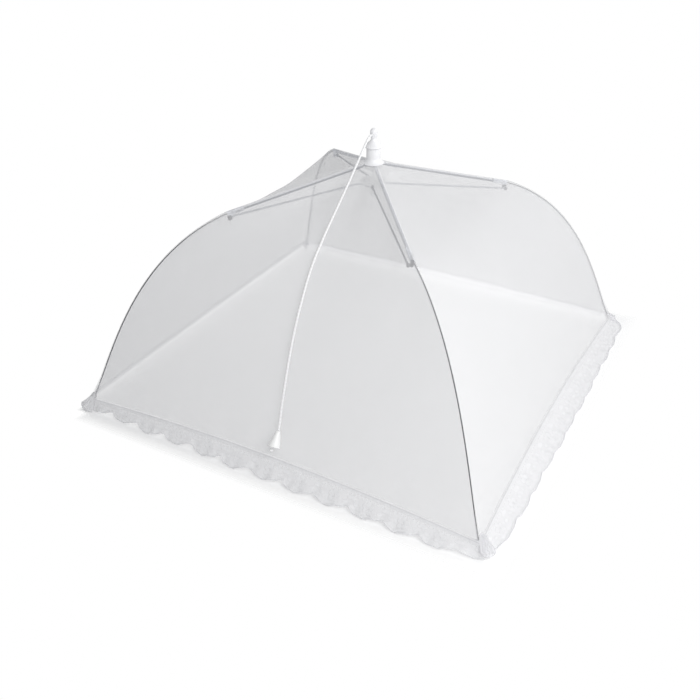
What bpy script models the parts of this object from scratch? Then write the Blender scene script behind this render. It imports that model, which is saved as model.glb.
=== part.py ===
"""Pop-up mesh food cover: a square net canopy on four sprung ribs, opened and folded by a pull cord.

The open cover stands on its four rib feet, with the table top at z = 0 and the crown above the origin.
Each rib lies in an upright plane through the axis, at 45 degrees to the canopy's sides. A rib is a
steel channel hinged on the crown's wire ring, and a sprung wire that bows down to the foot. Stretchers
join the ribs to the runner, which the pull cord lifts past the level of the ribs' rivets.

Parts of a rib are modelled in the rib's own plane: X outwards from the axis, Y across, Z up.
"""

import math

import bmesh
import bpy
import numpy as np
from mathutils import Matrix, Vector

# Ribs: where each one hinges, where its rivet and foot stand, and how its sprung wire bows
CROWN_HINGE_RADIUS = 0.0072
CROWN_HINGE_HEIGHT = 0.2224
BRACKET_RADIUS = 0.1428
BRACKET_HEIGHT = 0.1886
FOOT_RADIUS = 0.2935
FOOT_HEIGHT = 0.0040
FRONT_RIGHT_SWAY = 0.0100
SWAY_FADE_POWER = 1.5
WIRE_START_SLOPE = math.radians(19.9)
WIRE_START_REACH = 0.1026
WIRE_END_SLOPE = math.radians(58)
WIRE_END_REACH = 0.0498
WIRE_RADIUS = 0.0008
WIRE_PIVOT_INSET = 0.0008
CHANNEL_WIDTH = 0.0024
CHANNEL_DEPTH = 0.0020
CHANNEL_WALL = 0.0004
CHANNEL_START = 0.0032
TONGUE_THICKNESS = 0.0012
TONGUE_DEPTH = 0.0013
TONGUE_REACH = 0.0090
TONGUE_EYE_RADIUS = 0.0019
TONGUE_NARROW_SHARE = 0.9
EYE_HOLE_RADIUS = 0.0010

# Brackets: the crimped sleeve at the end of each channel, with the ear that carries the rivet
SLEEVE_LENGTH = 0.0160
SLEEVE_WALL = 0.0004
EAR_THICKNESS = 0.0012
EAR_RADIUS = 0.0022
EAR_ROOT_WIDTH = 0.0050
RIVET_DROP = 0.0052
RIVET_INSET = 0.0015

# Stretchers and their rivets
STRETCHER_OFFSET = -0.0031
STRETCHER_RADIUS = 0.0009
STRETCHER_EYE_RADIUS = 0.0020
STRETCHER_EYE_THICKNESS = 0.0016
RIVET_RADIUS = 0.0007
RIVET_HEAD_RADIUS = 0.0015
RIVET_HEAD_HEIGHT = 0.0007
RIVET_COLLAR_RADIUS = 0.0012

# Rib feet: a moulded cap on each wire's end, and the cloth sleeve that ties the hem to the wire
CAP_RADIUS = 0.0022
CAP_GRIP = 0.0050
CAP_FLAT_RADIUS = 0.0016
HEM_SLEEVE_RADIUS = 0.0017
HEM_SLEEVE_START = 0.0150
HEM_SLEEVE_LENGTH = 0.0080

# Crown: the slotted notch, its hinge ring, the bell over the net and the cap on top
RING_WIRE_RADIUS = 0.0005
NOTCH_RADIUS = 0.0088
NOTCH_GROOVE_RADIUS = 0.0064
NOTCH_GROOVE_HEIGHT = 0.0022
NOTCH_BOTTOM_DROP = 0.0030
NOTCH_TOP_RISE = 0.0023
NOTCH_SLOT_WIDTH = 0.0030
NOTCH_SLOT_ROOT = 0.0049
SPIGOT_RADIUS = 0.0036
SPIGOT_CAP_DEPTH = 0.0018
BELL_RIM_RADIUS = 0.0105
BELL_RADIUS = 0.0067
BELL_HEIGHT = 0.0127
BELL_FLARE_HEIGHT = 0.0052
CAP_SHOULDER_RADIUS = 0.0084
CAP_BASE_HEIGHT = 0.0026
CAP_EDGE_HEIGHT = 0.0020
CAP_CONE_HEIGHT = 0.0032
NECK_RADIUS = 0.0025
NECK_HEIGHT = 0.0038
KNOB_RADIUS = 0.0034
KNOB_HEIGHT = 0.0076
KNOB_CHAMFER = 0.0009
CORD_EXIT_RISE = 0.0020
CORD_EXIT_TURN = math.radians(-95)

# Runner: the slotted disc and sleeve that the cord lifts, with the stretchers' hinge ring
RUNNER_HINGE_RADIUS = 0.0105
RUNNER_DROP = 0.0189
RUNNER_RADIUS = 0.0128
RUNNER_GROOVE_RADIUS = 0.0076
RUNNER_GROOVE_HEIGHT = 0.0022
RUNNER_BELOW = 0.0029
RUNNER_ABOVE = 0.0029
RUNNER_SLOT_WIDTH = 0.0024
RUNNER_SLOT_ROOT = 0.0074
RUNNER_SLEEVE_RADIUS = 0.0042
RUNNER_SLEEVE_BELOW = 0.0090
RUNNER_SLEEVE_ABOVE = 0.0060

# Cord and what is on it
CORD_RADIUS = 0.0010
CORD_BORE_RADIUS = 0.0013
STOP_KNOT_RADIUS = 0.0026
CORD_POINT_SPACING = 0.0070
TOGGLE_RADIUS = 0.0050
TOGGLE_TOP_RADIUS = 0.0017
TOGGLE_TOP = (0.0107, -0.1975, 0.0405)
TOGGLE_BOTTOM = (0.0112, -0.2067, 0.0290)
TOGGLE_FLARE_SHARE = 0.9
TAIL_KNOT_RADIUS = 0.0021
TAIL_KNOT_PLACE = (0.0095, -0.2089, 0.0268)

# The free cord's route: out of the knob, straight down to the net's middle, then along the front panel
CORD_ROUTE = [
    (-0.0003, -0.0037, 0.2516),
    (-0.0005, -0.0062, 0.2513),
    (-0.0006, -0.0100, 0.2496),
    (-0.0003, -0.0180, 0.2443),
    (0.0001, -0.0280, 0.2370),
    (0.0006, -0.0394, 0.2289),
    (0.0013, -0.0582, 0.2154),
    (0.0020, -0.0786, 0.2015),
    (0.0027, -0.0950, 0.1905),
    (0.0034, -0.1060, 0.1829),
    (0.0040, -0.1159, 0.1759),
    (0.0047, -0.1240, 0.1692),
    (0.0052, -0.1311, 0.1623),
    (0.0062, -0.1430, 0.1481),
    (0.0068, -0.1540, 0.1324),
    (0.0073, -0.1620, 0.1189),
    (0.0079, -0.1700, 0.1038),
    (0.0084, -0.1770, 0.0886),
    (0.0090, -0.1840, 0.0723),
    (0.0096, -0.1905, 0.0564),
    (0.0103, -0.1947, 0.0462),
    (0.0107, -0.1974, 0.0409),
]

# Canopy: the net's stand-off over the ribs, its saddle between them, and the lace border
NET_THICKNESS = 0.0006
NET_START_RADIUS = 0.0093
NET_SQUARE_RADIUS = 0.0450
NET_OVER_CROWN = 0.00245
NET_OVER_BRACKET = 0.0032
NET_OVER_FOOT = 0.0042
NET_SAG = 0.0075
NET_HEM_SAG = 0.0019
HEM_MIDDLE_HEIGHT = 0.0120
LACE_THICKNESS = 0.0008
LACE_REACH = 0.0140
LACE_CORNER_REACH = 0.0097
LACE_EDGE_HEIGHT = 0.0010
LACE_SCALLOP_DEPTH = 0.0048
LACE_RUFFLE = 0.0026
LACE_CORNER_TURN = 0.0180
SCALLOPS_PER_SIDE = 13

# Clearances between pieces, and how finely round things are divided
FIT_GAP = 0.0003
CRIMP_GAP = 0.00025
SEAM_GAP = 0.0004
LACE_SEAM_GAP = 0.0007
CUT_OVERRUN = 0.0020
WELD_DISTANCE = 0.000001
SHARP_ANGLE = math.radians(35)
FINE_SIDES = 24
PLAIN_SIDES = 12
RING_SIDES = 6
BEND_STEPS = 3
WIRE_STEPS = 12
TUBE_RESOLUTION = 1
CURVE_SAMPLES = 200
UPPER_ROWS = 4
UPPER_COLUMNS = 4
LOWER_ROWS = 7
LOWER_COLUMNS = 5
LACE_STEPS_PER_WIDTH = 2
LACE_STEPS_PER_SCALLOP = 4

CORNERS = {"front_left": 225, "front_right": 315, "back_right": 45, "back_left": 135}

# How far each bracket stands aside from its corner's diagonal, because the sprung rib leans
SWAYS = {"front_left": 0, "front_right": -FRONT_RIGHT_SWAY, "back_right": 0, "back_left": 0}

# Finishes: colour, roughness and how metallic each one is
FINISHES = {
    "white_plastic": ((0.86, 0.86, 0.87), 0.35, 0.0),
    "steel": ((0.45, 0.48, 0.52), 0.35, 1.0),
    "dark_steel": ((0.20, 0.21, 0.23), 0.40, 1.0),
    "net": ((0.80, 0.80, 0.82), 0.80, 0.0),
    "lace": ((0.90, 0.90, 0.91), 0.85, 0.0),
    "cord": ((0.88, 0.88, 0.88), 0.75, 0.0),
}


def finish(name):
    """The material of that name, made the first time it is asked for."""
    found = bpy.data.materials.get(name)
    if found:
        return found
    colour, roughness, metallic = FINISHES[name]
    made = bpy.data.materials.new(name)
    made.use_nodes = True
    shader = made.node_tree.nodes["Principled BSDF"]
    shader.inputs["Base Color"].default_value = (*colour, 1)
    shader.inputs["Roughness"].default_value = roughness
    shader.inputs["Metallic"].default_value = metallic
    made.diffuse_color = (*colour, 1)
    return made


def linked(name, data, parent=None):
    made = bpy.data.objects.new(name, data)
    bpy.context.scene.collection.objects.link(made)
    made.parent = parent
    return made


def placed(name, mesh, material, pivot=(0, 0, 0), parent=None, smooth=True):
    """An object whose origin is at the pivot, with its mesh given about that pivot."""
    made = linked(name, mesh, parent)
    made.location = pivot
    if not mesh.materials:
        mesh.materials.append(finish(material))
    if smooth:
        mesh.shade_smooth()
        mesh.set_sharp_from_angle(angle=SHARP_ANGLE)
    return made


def about(mesh, pivot):
    """The mesh with its coordinates counted from the pivot."""
    mesh.transform(Matrix.Translation(-Vector(pivot)))
    return mesh


def evaluated(holder):
    """The holder's mesh with its modifiers worked out, after which the holder is removed."""
    bpy.context.view_layer.update()
    view = holder.evaluated_get(bpy.context.evaluated_depsgraph_get())
    mesh = bpy.data.meshes.new_from_object(view)
    bpy.data.objects.remove(holder)
    return mesh


def combined(mesh, *steps):
    """The mesh after each Boolean step, given as the operation and the mesh that it uses."""
    blank = linked("blank", mesh)
    tools = []
    for operation, other in steps:
        tool = linked("tool", other)
        step = blank.modifiers.new(operation, "BOOLEAN")
        step.operation = operation
        step.solver = "EXACT"
        step.object = tool
        tools.append(tool)
    made = evaluated(blank)
    for tool in tools:
        bpy.data.objects.remove(tool)
    return cleaned(made)


def cleaned(mesh):
    """The mesh with its doubled points merged and its slivers dissolved."""
    bm = bmesh.new()
    bm.from_mesh(mesh)
    bmesh.ops.remove_doubles(bm, verts=bm.verts, dist=WELD_DISTANCE)
    bmesh.ops.dissolve_degenerate(bm, edges=bm.edges, dist=WELD_DISTANCE)
    return mesh_from(bm)


def mesh_from(bm):
    bmesh.ops.recalc_face_normals(bm, faces=bm.faces)
    mesh = bpy.data.meshes.new("piece")
    bm.to_mesh(mesh)
    bm.free()
    return mesh


def turned(outline, sides=FINE_SIDES):
    """An (r, z) outline turned about Z. It joins its ends unless both are on the axis."""
    bm = bmesh.new()
    points = [bm.verts.new((r, 0, z)) for r, z in outline]
    edges = [bm.edges.new(pair) for pair in zip(points, points[1:])]
    if outline[0][0] > 0:
        edges.append(bm.edges.new((points[-1], points[0])))
    bmesh.ops.spin(
        bm, geom=points + edges, cent=(0, 0, 0), axis=(0, 0, 1),
        angle=math.tau, steps=sides, use_merge=True,
    )
    bmesh.ops.remove_doubles(bm, verts=bm.verts, dist=WELD_DISTANCE)
    return mesh_from(bm)


def plate(outline, thickness, middle=0):
    """An (x, z) outline as a flat plate, its thickness along Y about the given middle."""
    bm = bmesh.new()
    face = bm.faces.new([bm.verts.new((x, middle - thickness / 2, z)) for x, z in outline])
    grown = bmesh.ops.extrude_face_region(bm, geom=[face])["geom"]
    moved = [item for item in grown if isinstance(item, bmesh.types.BMVert)]
    bmesh.ops.translate(bm, verts=moved, vec=(0, thickness, 0))
    return mesh_from(bm)


def box(low, high):
    (x0, y0, z0), (x1, y1, z1) = low, high
    return plate([(x0, z0), (x1, z0), (x1, z1), (x0, z1)], y1 - y0, (y0 + y1) / 2)


def pin(radius, low, high, centre=(0, 0), sides=PLAIN_SIDES):
    """A cylinder along Y from low to high, about an (x, z) centre."""
    turns = np.arange(sides) * math.tau / sides
    outline = [(centre[0] + radius * math.cos(t), centre[1] + radius * math.sin(t)) for t in turns]
    return plate(outline, high - low, (low + high) / 2)


def washer(radius, hole, low, high, x=0):
    """A flat ring whose hole runs along Y, from low to high."""
    made = turned([(hole, low), (radius, low), (radius, high), (hole, high)], FINE_SIDES // 2)
    made.transform(Matrix.Translation((x, 0, 0)) @ Matrix.Rotation(-math.pi / 2, 4, "X"))
    return made


def torus(major, minor, height):
    """A closed wire ring about the axis at that height."""
    turns = np.arange(RING_SIDES) * math.tau / RING_SIDES
    return turned([(major + minor * math.cos(t), height + minor * math.sin(t)) for t in turns])


def tube(points, radius, name="tube", cyclic=False):
    """A round tube along the points, with closed ends."""
    curve = bpy.data.curves.new(name, "CURVE")
    curve.dimensions = "3D"
    curve.bevel_depth = radius
    curve.bevel_resolution = TUBE_RESOLUTION
    curve.use_fill_caps = True
    spline = curve.splines.new("POLY")
    spline.points.add(len(points) - 1)
    for point, place in zip(spline.points, points):
        point.co = (*place, 1)
    spline.use_cyclic_u = cyclic
    return curve


def tube_mesh(points, radius):
    return cleaned(evaluated(linked("tube", tube(points, radius))))


def smooth_step(share):
    share = np.clip(share, 0, 1)
    return share * share * (3 - 2 * share)


def rib_slope():
    """How steeply the channel falls away from the crown."""
    return math.atan2(CROWN_HINGE_HEIGHT - BRACKET_HEIGHT, BRACKET_RADIUS - CROWN_HINGE_RADIUS)


def channel_length():
    return math.hypot(BRACKET_RADIUS - CROWN_HINGE_RADIUS, CROWN_HINGE_HEIGHT - BRACKET_HEIGHT)


def along_channel(reach, rise=0):
    """The (r, z) place at a reach along the channel's middle line and a rise square to it."""
    slope = rib_slope()
    r = CROWN_HINGE_RADIUS + reach * math.cos(slope) + rise * math.sin(slope)
    z = CROWN_HINGE_HEIGHT - reach * math.sin(slope) + rise * math.cos(slope)
    return r, z


def wire_line(shares):
    """(r, z) places on the sprung wire, a cubic curve from the bracket to the foot."""
    u = np.asarray(shares, float)[..., None]
    start = np.array([BRACKET_RADIUS, BRACKET_HEIGHT])
    end = np.array([FOOT_RADIUS, FOOT_HEIGHT])
    out = start + WIRE_START_REACH * np.array([math.cos(WIRE_START_SLOPE), -math.sin(WIRE_START_SLOPE)])
    back = end + WIRE_END_REACH * np.array([-math.cos(WIRE_END_SLOPE), math.sin(WIRE_END_SLOPE)])
    return (1 - u) ** 3 * start + 3 * u * (1 - u) ** 2 * out + 3 * u * u * (1 - u) * back + u**3 * end


def wire_direction(share):
    """Unit (r, z) direction of the wire towards its foot."""
    step = 1 / CURVE_SAMPLES
    way = wire_line([min(share + step, 1)])[0] - wire_line([max(share - step, 0)])[0]
    return way / np.hypot(*way)


def wire_share_before_foot(length):
    """The share of the wire's curve that lies this length before its foot."""
    shares = np.linspace(0, 1, CURVE_SAMPLES)
    steps = np.hypot(*np.diff(wire_line(shares), axis=0).T)
    run = np.concatenate([[0], np.cumsum(steps)])
    return float(np.interp(run[-1] - length, run, shares))


def upper_turn(sway):
    """How far a leaning rib's channel turns about the crown from its corner's diagonal."""
    return math.asin(sway / BRACKET_RADIUS)


def lower_turn(sway):
    """How far a leaning wire's upright plane turns about its foot."""
    turn = upper_turn(sway)
    return math.atan2(-BRACKET_RADIUS * math.sin(turn), FOOT_RADIUS - BRACKET_RADIUS * math.cos(turn))


def wire_places(shares, sway):
    """(x, y, z) places on the wire in its corner's frame. Seen from above it is straight."""
    r, z = wire_line(shares).T
    share = (r - BRACKET_RADIUS) / (FOOT_RADIUS - BRACKET_RADIUS)
    turn = upper_turn(sway)
    x, y = BRACKET_RADIUS * math.cos(turn), BRACKET_RADIUS * math.sin(turn)
    return np.stack([x + (FOOT_RADIUS - x) * share, y * (1 - share), z], -1)


def rivet_place():
    return along_channel(channel_length() - RIVET_INSET, -RIVET_DROP)


def runner_hinge_height():
    return CROWN_HINGE_HEIGHT - RUNNER_DROP


def runner_hinge_place():
    """Where the stretcher's eye meets the runner's ring, in the stretcher's own offset plane."""
    return math.sqrt(RUNNER_HINGE_RADIUS**2 - STRETCHER_OFFSET**2), runner_hinge_height()


def wire_pivot(sway):
    """Where the wire's bend is hinged: a little way along it from the bracket."""
    start = wire_places([0], sway)[0]
    way = wire_direction(0) * WIRE_PIVOT_INSET
    turn = lower_turn(sway)
    return Vector((start[0] + way[0] * math.cos(turn), start[1] + way[0] * math.sin(turn), start[2] + way[1]))


def net_line():
    """The net's line over a rib: lengths run, places (r, z) and the run at which the bracket ends."""
    reach = np.linspace(0, channel_length(), CURVE_SAMPLES)
    upper = np.array([along_channel(x) for x in reach])
    lower = wire_line(np.linspace(0, 1, CURVE_SAMPLES)[1:])
    line = np.concatenate([upper, lower])
    way = np.gradient(line, axis=0)
    way /= np.hypot(*way.T)[:, None]
    run = np.concatenate([[0], np.cumsum(np.hypot(*np.diff(line, axis=0).T))])
    cap_run = run[-1] - HEM_SLEEVE_START
    stand_off = np.interp(
        run,
        [0, channel_length(), cap_run - HEM_SLEEVE_START, cap_run],
        [NET_OVER_CROWN, NET_OVER_BRACKET, NET_OVER_BRACKET, NET_OVER_FOOT],
    )
    return run, line + stand_off[:, None] * np.stack([-way[:, 1], way[:, 0]], -1)


def side_line(r, turn):
    """Places across half a canopy side at rib radius r: turn 0 is at the rib, 1 at the side's middle.

    Gives the distance out from the axis and along the side. Round at the crown, square further out.
    """
    square = smooth_step((r - NET_START_RADIUS) / (NET_SQUARE_RADIUS - NET_START_RADIUS))
    half = r / math.sqrt(2)
    angle = math.pi / 4 * (1 - turn)
    out = square * half + (1 - square) * r * np.cos(angle)
    along = square * half * (1 - turn) + (1 - square) * r * np.sin(angle)
    return out, along * (1 - turn) + turn * np.maximum(along, SEAM_GAP / 2)


def net_point(run_at, turn, table):
    """Net places in the side's frame (out, along, height), with the side's sag towards its middle."""
    run, line = table
    joint = channel_length()
    r = np.interp(run_at, run, line[:, 0])
    z = np.interp(run_at, run, line[:, 1])
    out, along = side_line(r, turn)
    share = np.where(run_at < joint, run_at / joint, (run[-1] - run_at) / (run[-1] - joint))
    middle = 1 - (1 - turn) ** 2
    depth = NET_SAG * np.sin(share * math.pi / 2)
    sag = middle * np.where(run_at < joint, depth, depth + NET_HEM_SAG * (1 - share))
    slope = np.gradient(line[:, 1], run) / np.hypot(np.gradient(line[:, 0], run) / math.sqrt(2),
                                                    np.gradient(line[:, 1], run))
    fall = np.interp(run_at, run, slope)
    return out + sag * fall, along, z - sag * np.sqrt(1 - fall**2)


def hem_run(turn, table):
    """How far the net runs down at each place across: to the foot at a rib, less in the middle."""
    run, line = table
    below = len(run) // 2
    middle = np.interp(-HEM_MIDDLE_HEIGHT, -line[below:, 1], run[below:])
    return run[-1] - (run[-1] - middle) * (1 - (1 - turn) ** 2)


def net_sway(run_at, turn, table, sway):
    """How far the net goes aside with a leaning rib: most at its bracket, none at the side's middle."""
    run, line = table
    r = np.interp(run_at, run, line[:, 0])
    share = np.minimum(r / BRACKET_RADIUS, (FOOT_RADIUS - r) / (FOOT_RADIUS - BRACKET_RADIUS))
    return sway * np.clip(share, 0, 1) * (1 - turn) ** SWAY_FADE_POWER


def corner_sheet(half, columns, rows):
    """Both half sides about a rib as one grid in the corner's frame.

    half(turn, row) gives (out, along, height, aside) arrays for turn 0 at the rib to 1 at the side's middle.
    """
    turn = np.linspace(-1, 1, 2 * columns + 1)[None, :]
    row = np.linspace(0, 1, rows + 1)[:, None]
    out, along, height, aside = half(np.abs(turn) + 0 * row, row + 0 * turn)
    x = (out + along) / math.sqrt(2)
    y = np.sign(turn) * (out - along) / math.sqrt(2) + aside
    return np.stack([x, y, height], -1)


def sheet_mesh(grid, thickness):
    """A cloth of even thickness about a grid of places."""
    rows, columns = grid.shape[:2]
    index = np.arange(rows * columns).reshape(rows, columns)
    faces = np.stack([index[:-1, :-1], index[1:, :-1], index[1:, 1:], index[:-1, 1:]], -1)
    mesh = bpy.data.meshes.new("cloth")
    mesh.from_pydata(grid.reshape(-1, 3).tolist(), [], faces.reshape(-1, 4).tolist())
    holder = linked("cloth", mesh)
    skin = holder.modifiers.new("thickness", "SOLIDIFY")
    skin.thickness = thickness
    skin.offset = 0
    skin.use_even_offset = True
    return cleaned(evaluated(holder))


def net_upper_mesh(sway):
    """The net from under the crown's bell to the bracket, about one rib."""
    table = net_line()
    first = np.interp(NET_START_RADIUS, table[1][:, 0], table[0])
    last = channel_length() - SEAM_GAP / 2

    def half(turn, row):
        run_at = first + (last - first) * row
        return *net_point(run_at, turn, table), net_sway(run_at, turn, table, sway)

    return sheet_mesh(corner_sheet(half, UPPER_COLUMNS, UPPER_ROWS), NET_THICKNESS)


def net_lower_mesh(sway):
    """The net from the bracket down to the hem, about one rib."""
    table = net_line()
    first = channel_length() + SEAM_GAP / 2

    def half(turn, row):
        run_at = first + (hem_run(turn, table) - first) * row
        return *net_point(run_at, turn, table), net_sway(run_at, turn, table, sway)

    return sheet_mesh(corner_sheet(half, LOWER_COLUMNS, LOWER_ROWS), NET_THICKNESS)


def lace_mesh():
    """The scalloped, ruffled border about one corner, from the hem down and out to the table."""
    table = net_line()
    columns = math.ceil(SCALLOPS_PER_SIDE * LACE_STEPS_PER_SCALLOP / 2)
    floor = LACE_EDGE_HEIGHT
    foot = FOOT_RADIUS / math.sqrt(2)
    side = 2 * side_line(table[1][-1, 0], np.array(0.0))[1]
    pitch = side / SCALLOPS_PER_SIDE

    def half(turn, row):
        top = np.stack(net_point(hem_run(turn, table), turn, table))
        above = np.stack(net_point(hem_run(turn, table) - SEAM_GAP, turn, table))
        down = (top - above) / np.linalg.norm(top - above, axis=0)
        out, along, height = top + down * LACE_SEAM_GAP
        corner = smooth_step(1 - (side / 2 - along) / LACE_CORNER_TURN)
        lobe = np.abs(np.cos(math.pi * along / pitch))
        edge = foot + LACE_REACH - LACE_SCALLOP_DEPTH * (1 - lobe) ** 2
        edge = edge + (foot + LACE_CORNER_REACH - edge) * corner
        move = (edge - out) * row
        lift = LACE_RUFFLE * (1 - lobe) * row**2
        fall = (height - floor) * np.sin(row * math.pi / 2)
        return out + move, along + move * corner, height - fall + lift, 0 * height

    return sheet_mesh(corner_sheet(half, columns, LACE_STEPS_PER_WIDTH), LACE_THICKNESS)


def channel_mesh():
    """The rib's upper part: a pressed channel, open below, with a flat tongue and eye at the crown."""
    wide, deep, wall = CHANNEL_WIDTH / 2, CHANNEL_DEPTH / 2, CHANNEL_WALL
    long = channel_length() - FIT_GAP - WIRE_PIVOT_INSET / 2
    outer = box((CHANNEL_START, -wide, -deep), (long, wide, deep))
    inner = box((CHANNEL_START - CUT_OVERRUN, wall - wide, -deep - CUT_OVERRUN),
                (long + CUT_OVERRUN, wide - wall, deep - wall))
    top = deep - wall / 2
    root = (TONGUE_EYE_RADIUS + EYE_HOLE_RADIUS) / 2
    flat = TONGUE_THICKNESS / 2
    tongue = box((root, -flat * TONGUE_NARROW_SHARE, top - TONGUE_DEPTH),
                 (TONGUE_REACH, flat * TONGUE_NARROW_SHARE, top))
    eye = washer(TONGUE_EYE_RADIUS, EYE_HOLE_RADIUS, -flat, flat)
    made = combined(outer, ("DIFFERENCE", inner), ("UNION", tongue), ("UNION", eye))
    made.transform(Matrix.Rotation(rib_slope(), 4, "Y"))
    return made


def bracket_mesh():
    """The crimped sleeve over the channel's outer end, and its ear. Counted from the crown hinge."""
    wide = CHANNEL_WIDTH / 2 + CRIMP_GAP
    deep = CHANNEL_DEPTH / 2 + CRIMP_GAP
    end = channel_length() - FIT_GAP - WIRE_PIVOT_INSET / 2
    start = end - SLEEVE_LENGTH
    sleeve = box((start, -wide - SLEEVE_WALL, -deep - SLEEVE_WALL), (end, wide + SLEEVE_WALL, deep + SLEEVE_WALL))
    hollow = box((start - CUT_OVERRUN, -wide, -deep), (end + CUT_OVERRUN, wide, deep))
    x, z = channel_length() - RIVET_INSET, -RIVET_DROP
    root = -deep - SLEEVE_WALL / 2
    left = max(x - EAR_ROOT_WIDTH, start)
    turns = np.linspace(math.pi, math.tau, PLAIN_SIDES // 2 + 1)
    tip = [(x + EAR_RADIUS * math.cos(t), z + EAR_RADIUS * math.sin(t)) for t in turns]
    ear = plate([(left, root), *tip, (min(x + EAR_RADIUS, end), root)], EAR_THICKNESS)
    hole = pin(RIVET_RADIUS + FIT_GAP, -EAR_RADIUS, EAR_RADIUS, (x, z))
    made = combined(sleeve, ("DIFFERENCE", hollow), ("UNION", ear), ("DIFFERENCE", hole))
    made.transform(Matrix.Rotation(rib_slope(), 4, "Y"))
    return made


def wire_mesh(sway):
    """The sprung wire, from the bracket down to the foot."""
    return tube_mesh(wire_places(np.linspace(0, 1, WIRE_STEPS + 1), sway), WIRE_RADIUS)


def foot_cap_mesh():
    """The moulded cap on the wire's end, cut flat where it stands on the table."""
    way = wire_direction(1)
    flat_height = math.sqrt(CAP_RADIUS**2 - CAP_FLAT_RADIUS**2)
    dome = max((FOOT_HEIGHT - flat_height) / -way[1], WIRE_RADIUS)
    bore = WIRE_RADIUS + FIT_GAP
    turns = np.linspace(math.pi / 2, 0, PLAIN_SIDES // 2)
    outline = [(CAP_RADIUS * math.cos(t), dome + CAP_RADIUS * math.sin(t)) for t in turns]
    outline[0] = (0, dome + CAP_RADIUS)
    outline += [(CAP_RADIUS, -CAP_GRIP), (bore, -CAP_GRIP), (bore, FIT_GAP), (0, FIT_GAP)]
    made = turned(outline, PLAIN_SIDES)
    lean = math.atan2(way[0], way[1])
    made.transform(Matrix.Translation((FOOT_RADIUS, 0, FOOT_HEIGHT)) @ Matrix.Rotation(lean, 4, "Y"))
    reach = FOOT_RADIUS + CAP_GRIP + dome
    below = box((FOOT_RADIUS - CAP_GRIP, -CAP_GRIP, -CAP_GRIP), (reach, CAP_GRIP, 0))
    return combined(made, ("DIFFERENCE", below))


def hem_sleeve_mesh():
    """The sewn sleeve that holds the hem's corner to the wire, just above the cap."""
    first = wire_share_before_foot(HEM_SLEEVE_START)
    last = wire_share_before_foot(HEM_SLEEVE_START - HEM_SLEEVE_LENGTH)
    margin = (last - first) / 2
    outer = [(r, 0, z) for r, z in wire_line(np.linspace(first, last, BEND_STEPS))]
    inner = [(r, 0, z) for r, z in wire_line(np.linspace(first - margin, last + margin, 2 * BEND_STEPS))]
    bore = tube_mesh(inner, WIRE_RADIUS + FIT_GAP)
    return combined(tube_mesh(outer, HEM_SLEEVE_RADIUS), ("DIFFERENCE", bore))


def stretcher_mesh():
    """A round wire with a flat eye at each end, counted from the runner hinge."""
    start, end = np.array(runner_hinge_place()), np.array(rivet_place())
    long = float(np.hypot(*(end - start)))
    slope = math.atan2(start[1] - end[1], end[0] - start[0])
    flat = STRETCHER_EYE_THICKNESS / 2
    y = STRETCHER_OFFSET
    inset = STRETCHER_EYE_RADIUS - STRETCHER_RADIUS / 2
    wire = tube_mesh([(inset, y, 0), (long - inset, y, 0)], STRETCHER_RADIUS)
    ring_eye = washer(STRETCHER_EYE_RADIUS, EYE_HOLE_RADIUS, y - flat, y + flat)
    rivet_eye = washer(STRETCHER_EYE_RADIUS, RIVET_RADIUS + FIT_GAP, y - flat, y + flat, long)
    made = combined(wire, ("UNION", ring_eye), ("UNION", rivet_eye))
    made.transform(Matrix.Rotation(slope, 4, "Y"))
    return made


def rivet_mesh():
    """The shouldered rivet through the bracket's ear and the stretcher's outer eye, along Y."""
    ear = EAR_THICKNESS / 2 + FIT_GAP
    near = abs(STRETCHER_OFFSET) - STRETCHER_EYE_THICKNESS / 2 - FIT_GAP
    far = abs(STRETCHER_OFFSET) + STRETCHER_EYE_THICKNESS / 2 + FIT_GAP
    head, shaft, collar, high = RIVET_HEAD_RADIUS, RIVET_RADIUS, RIVET_COLLAR_RADIUS, RIVET_HEAD_HEIGHT
    outline = [
        (0, -ear - high), (head, -ear - high / 2), (head, -ear), (shaft, -ear), (shaft, ear), (collar, ear),
        (collar, near), (shaft, near), (shaft, far), (head, far), (head, far + high / 2), (0, far + high),
    ]
    made = turned(outline, PLAIN_SIDES)
    made.transform(Matrix.Rotation(math.copysign(math.pi / 2, -STRETCHER_OFFSET), 4, "X"))
    return made


def slots(width, root, radius, low, high, offset=0):
    """Cutters for the four rib slots, each open outwards from its root."""
    cutters = []
    for corner, degrees in CORNERS.items():
        cutter = box((root, offset - width / 2, low), (radius + CUT_OVERRUN, offset + width / 2, high))
        cutter.transform(Matrix.Rotation(math.radians(degrees) + upper_turn(SWAYS[corner]), 4, "Z"))
        cutters.append(("DIFFERENCE", cutter))
    return cutters


def notch_top():
    return CROWN_HINGE_HEIGHT + NOTCH_TOP_RISE


def bell_rim_height():
    return notch_top() + FIT_GAP


def cap_seat():
    return bell_rim_height() + BELL_HEIGHT + FIT_GAP


def cord_exit_height():
    return cap_seat() + CAP_BASE_HEIGHT + CAP_EDGE_HEIGHT + CAP_CONE_HEIGHT + NECK_HEIGHT + CORD_EXIT_RISE


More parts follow.
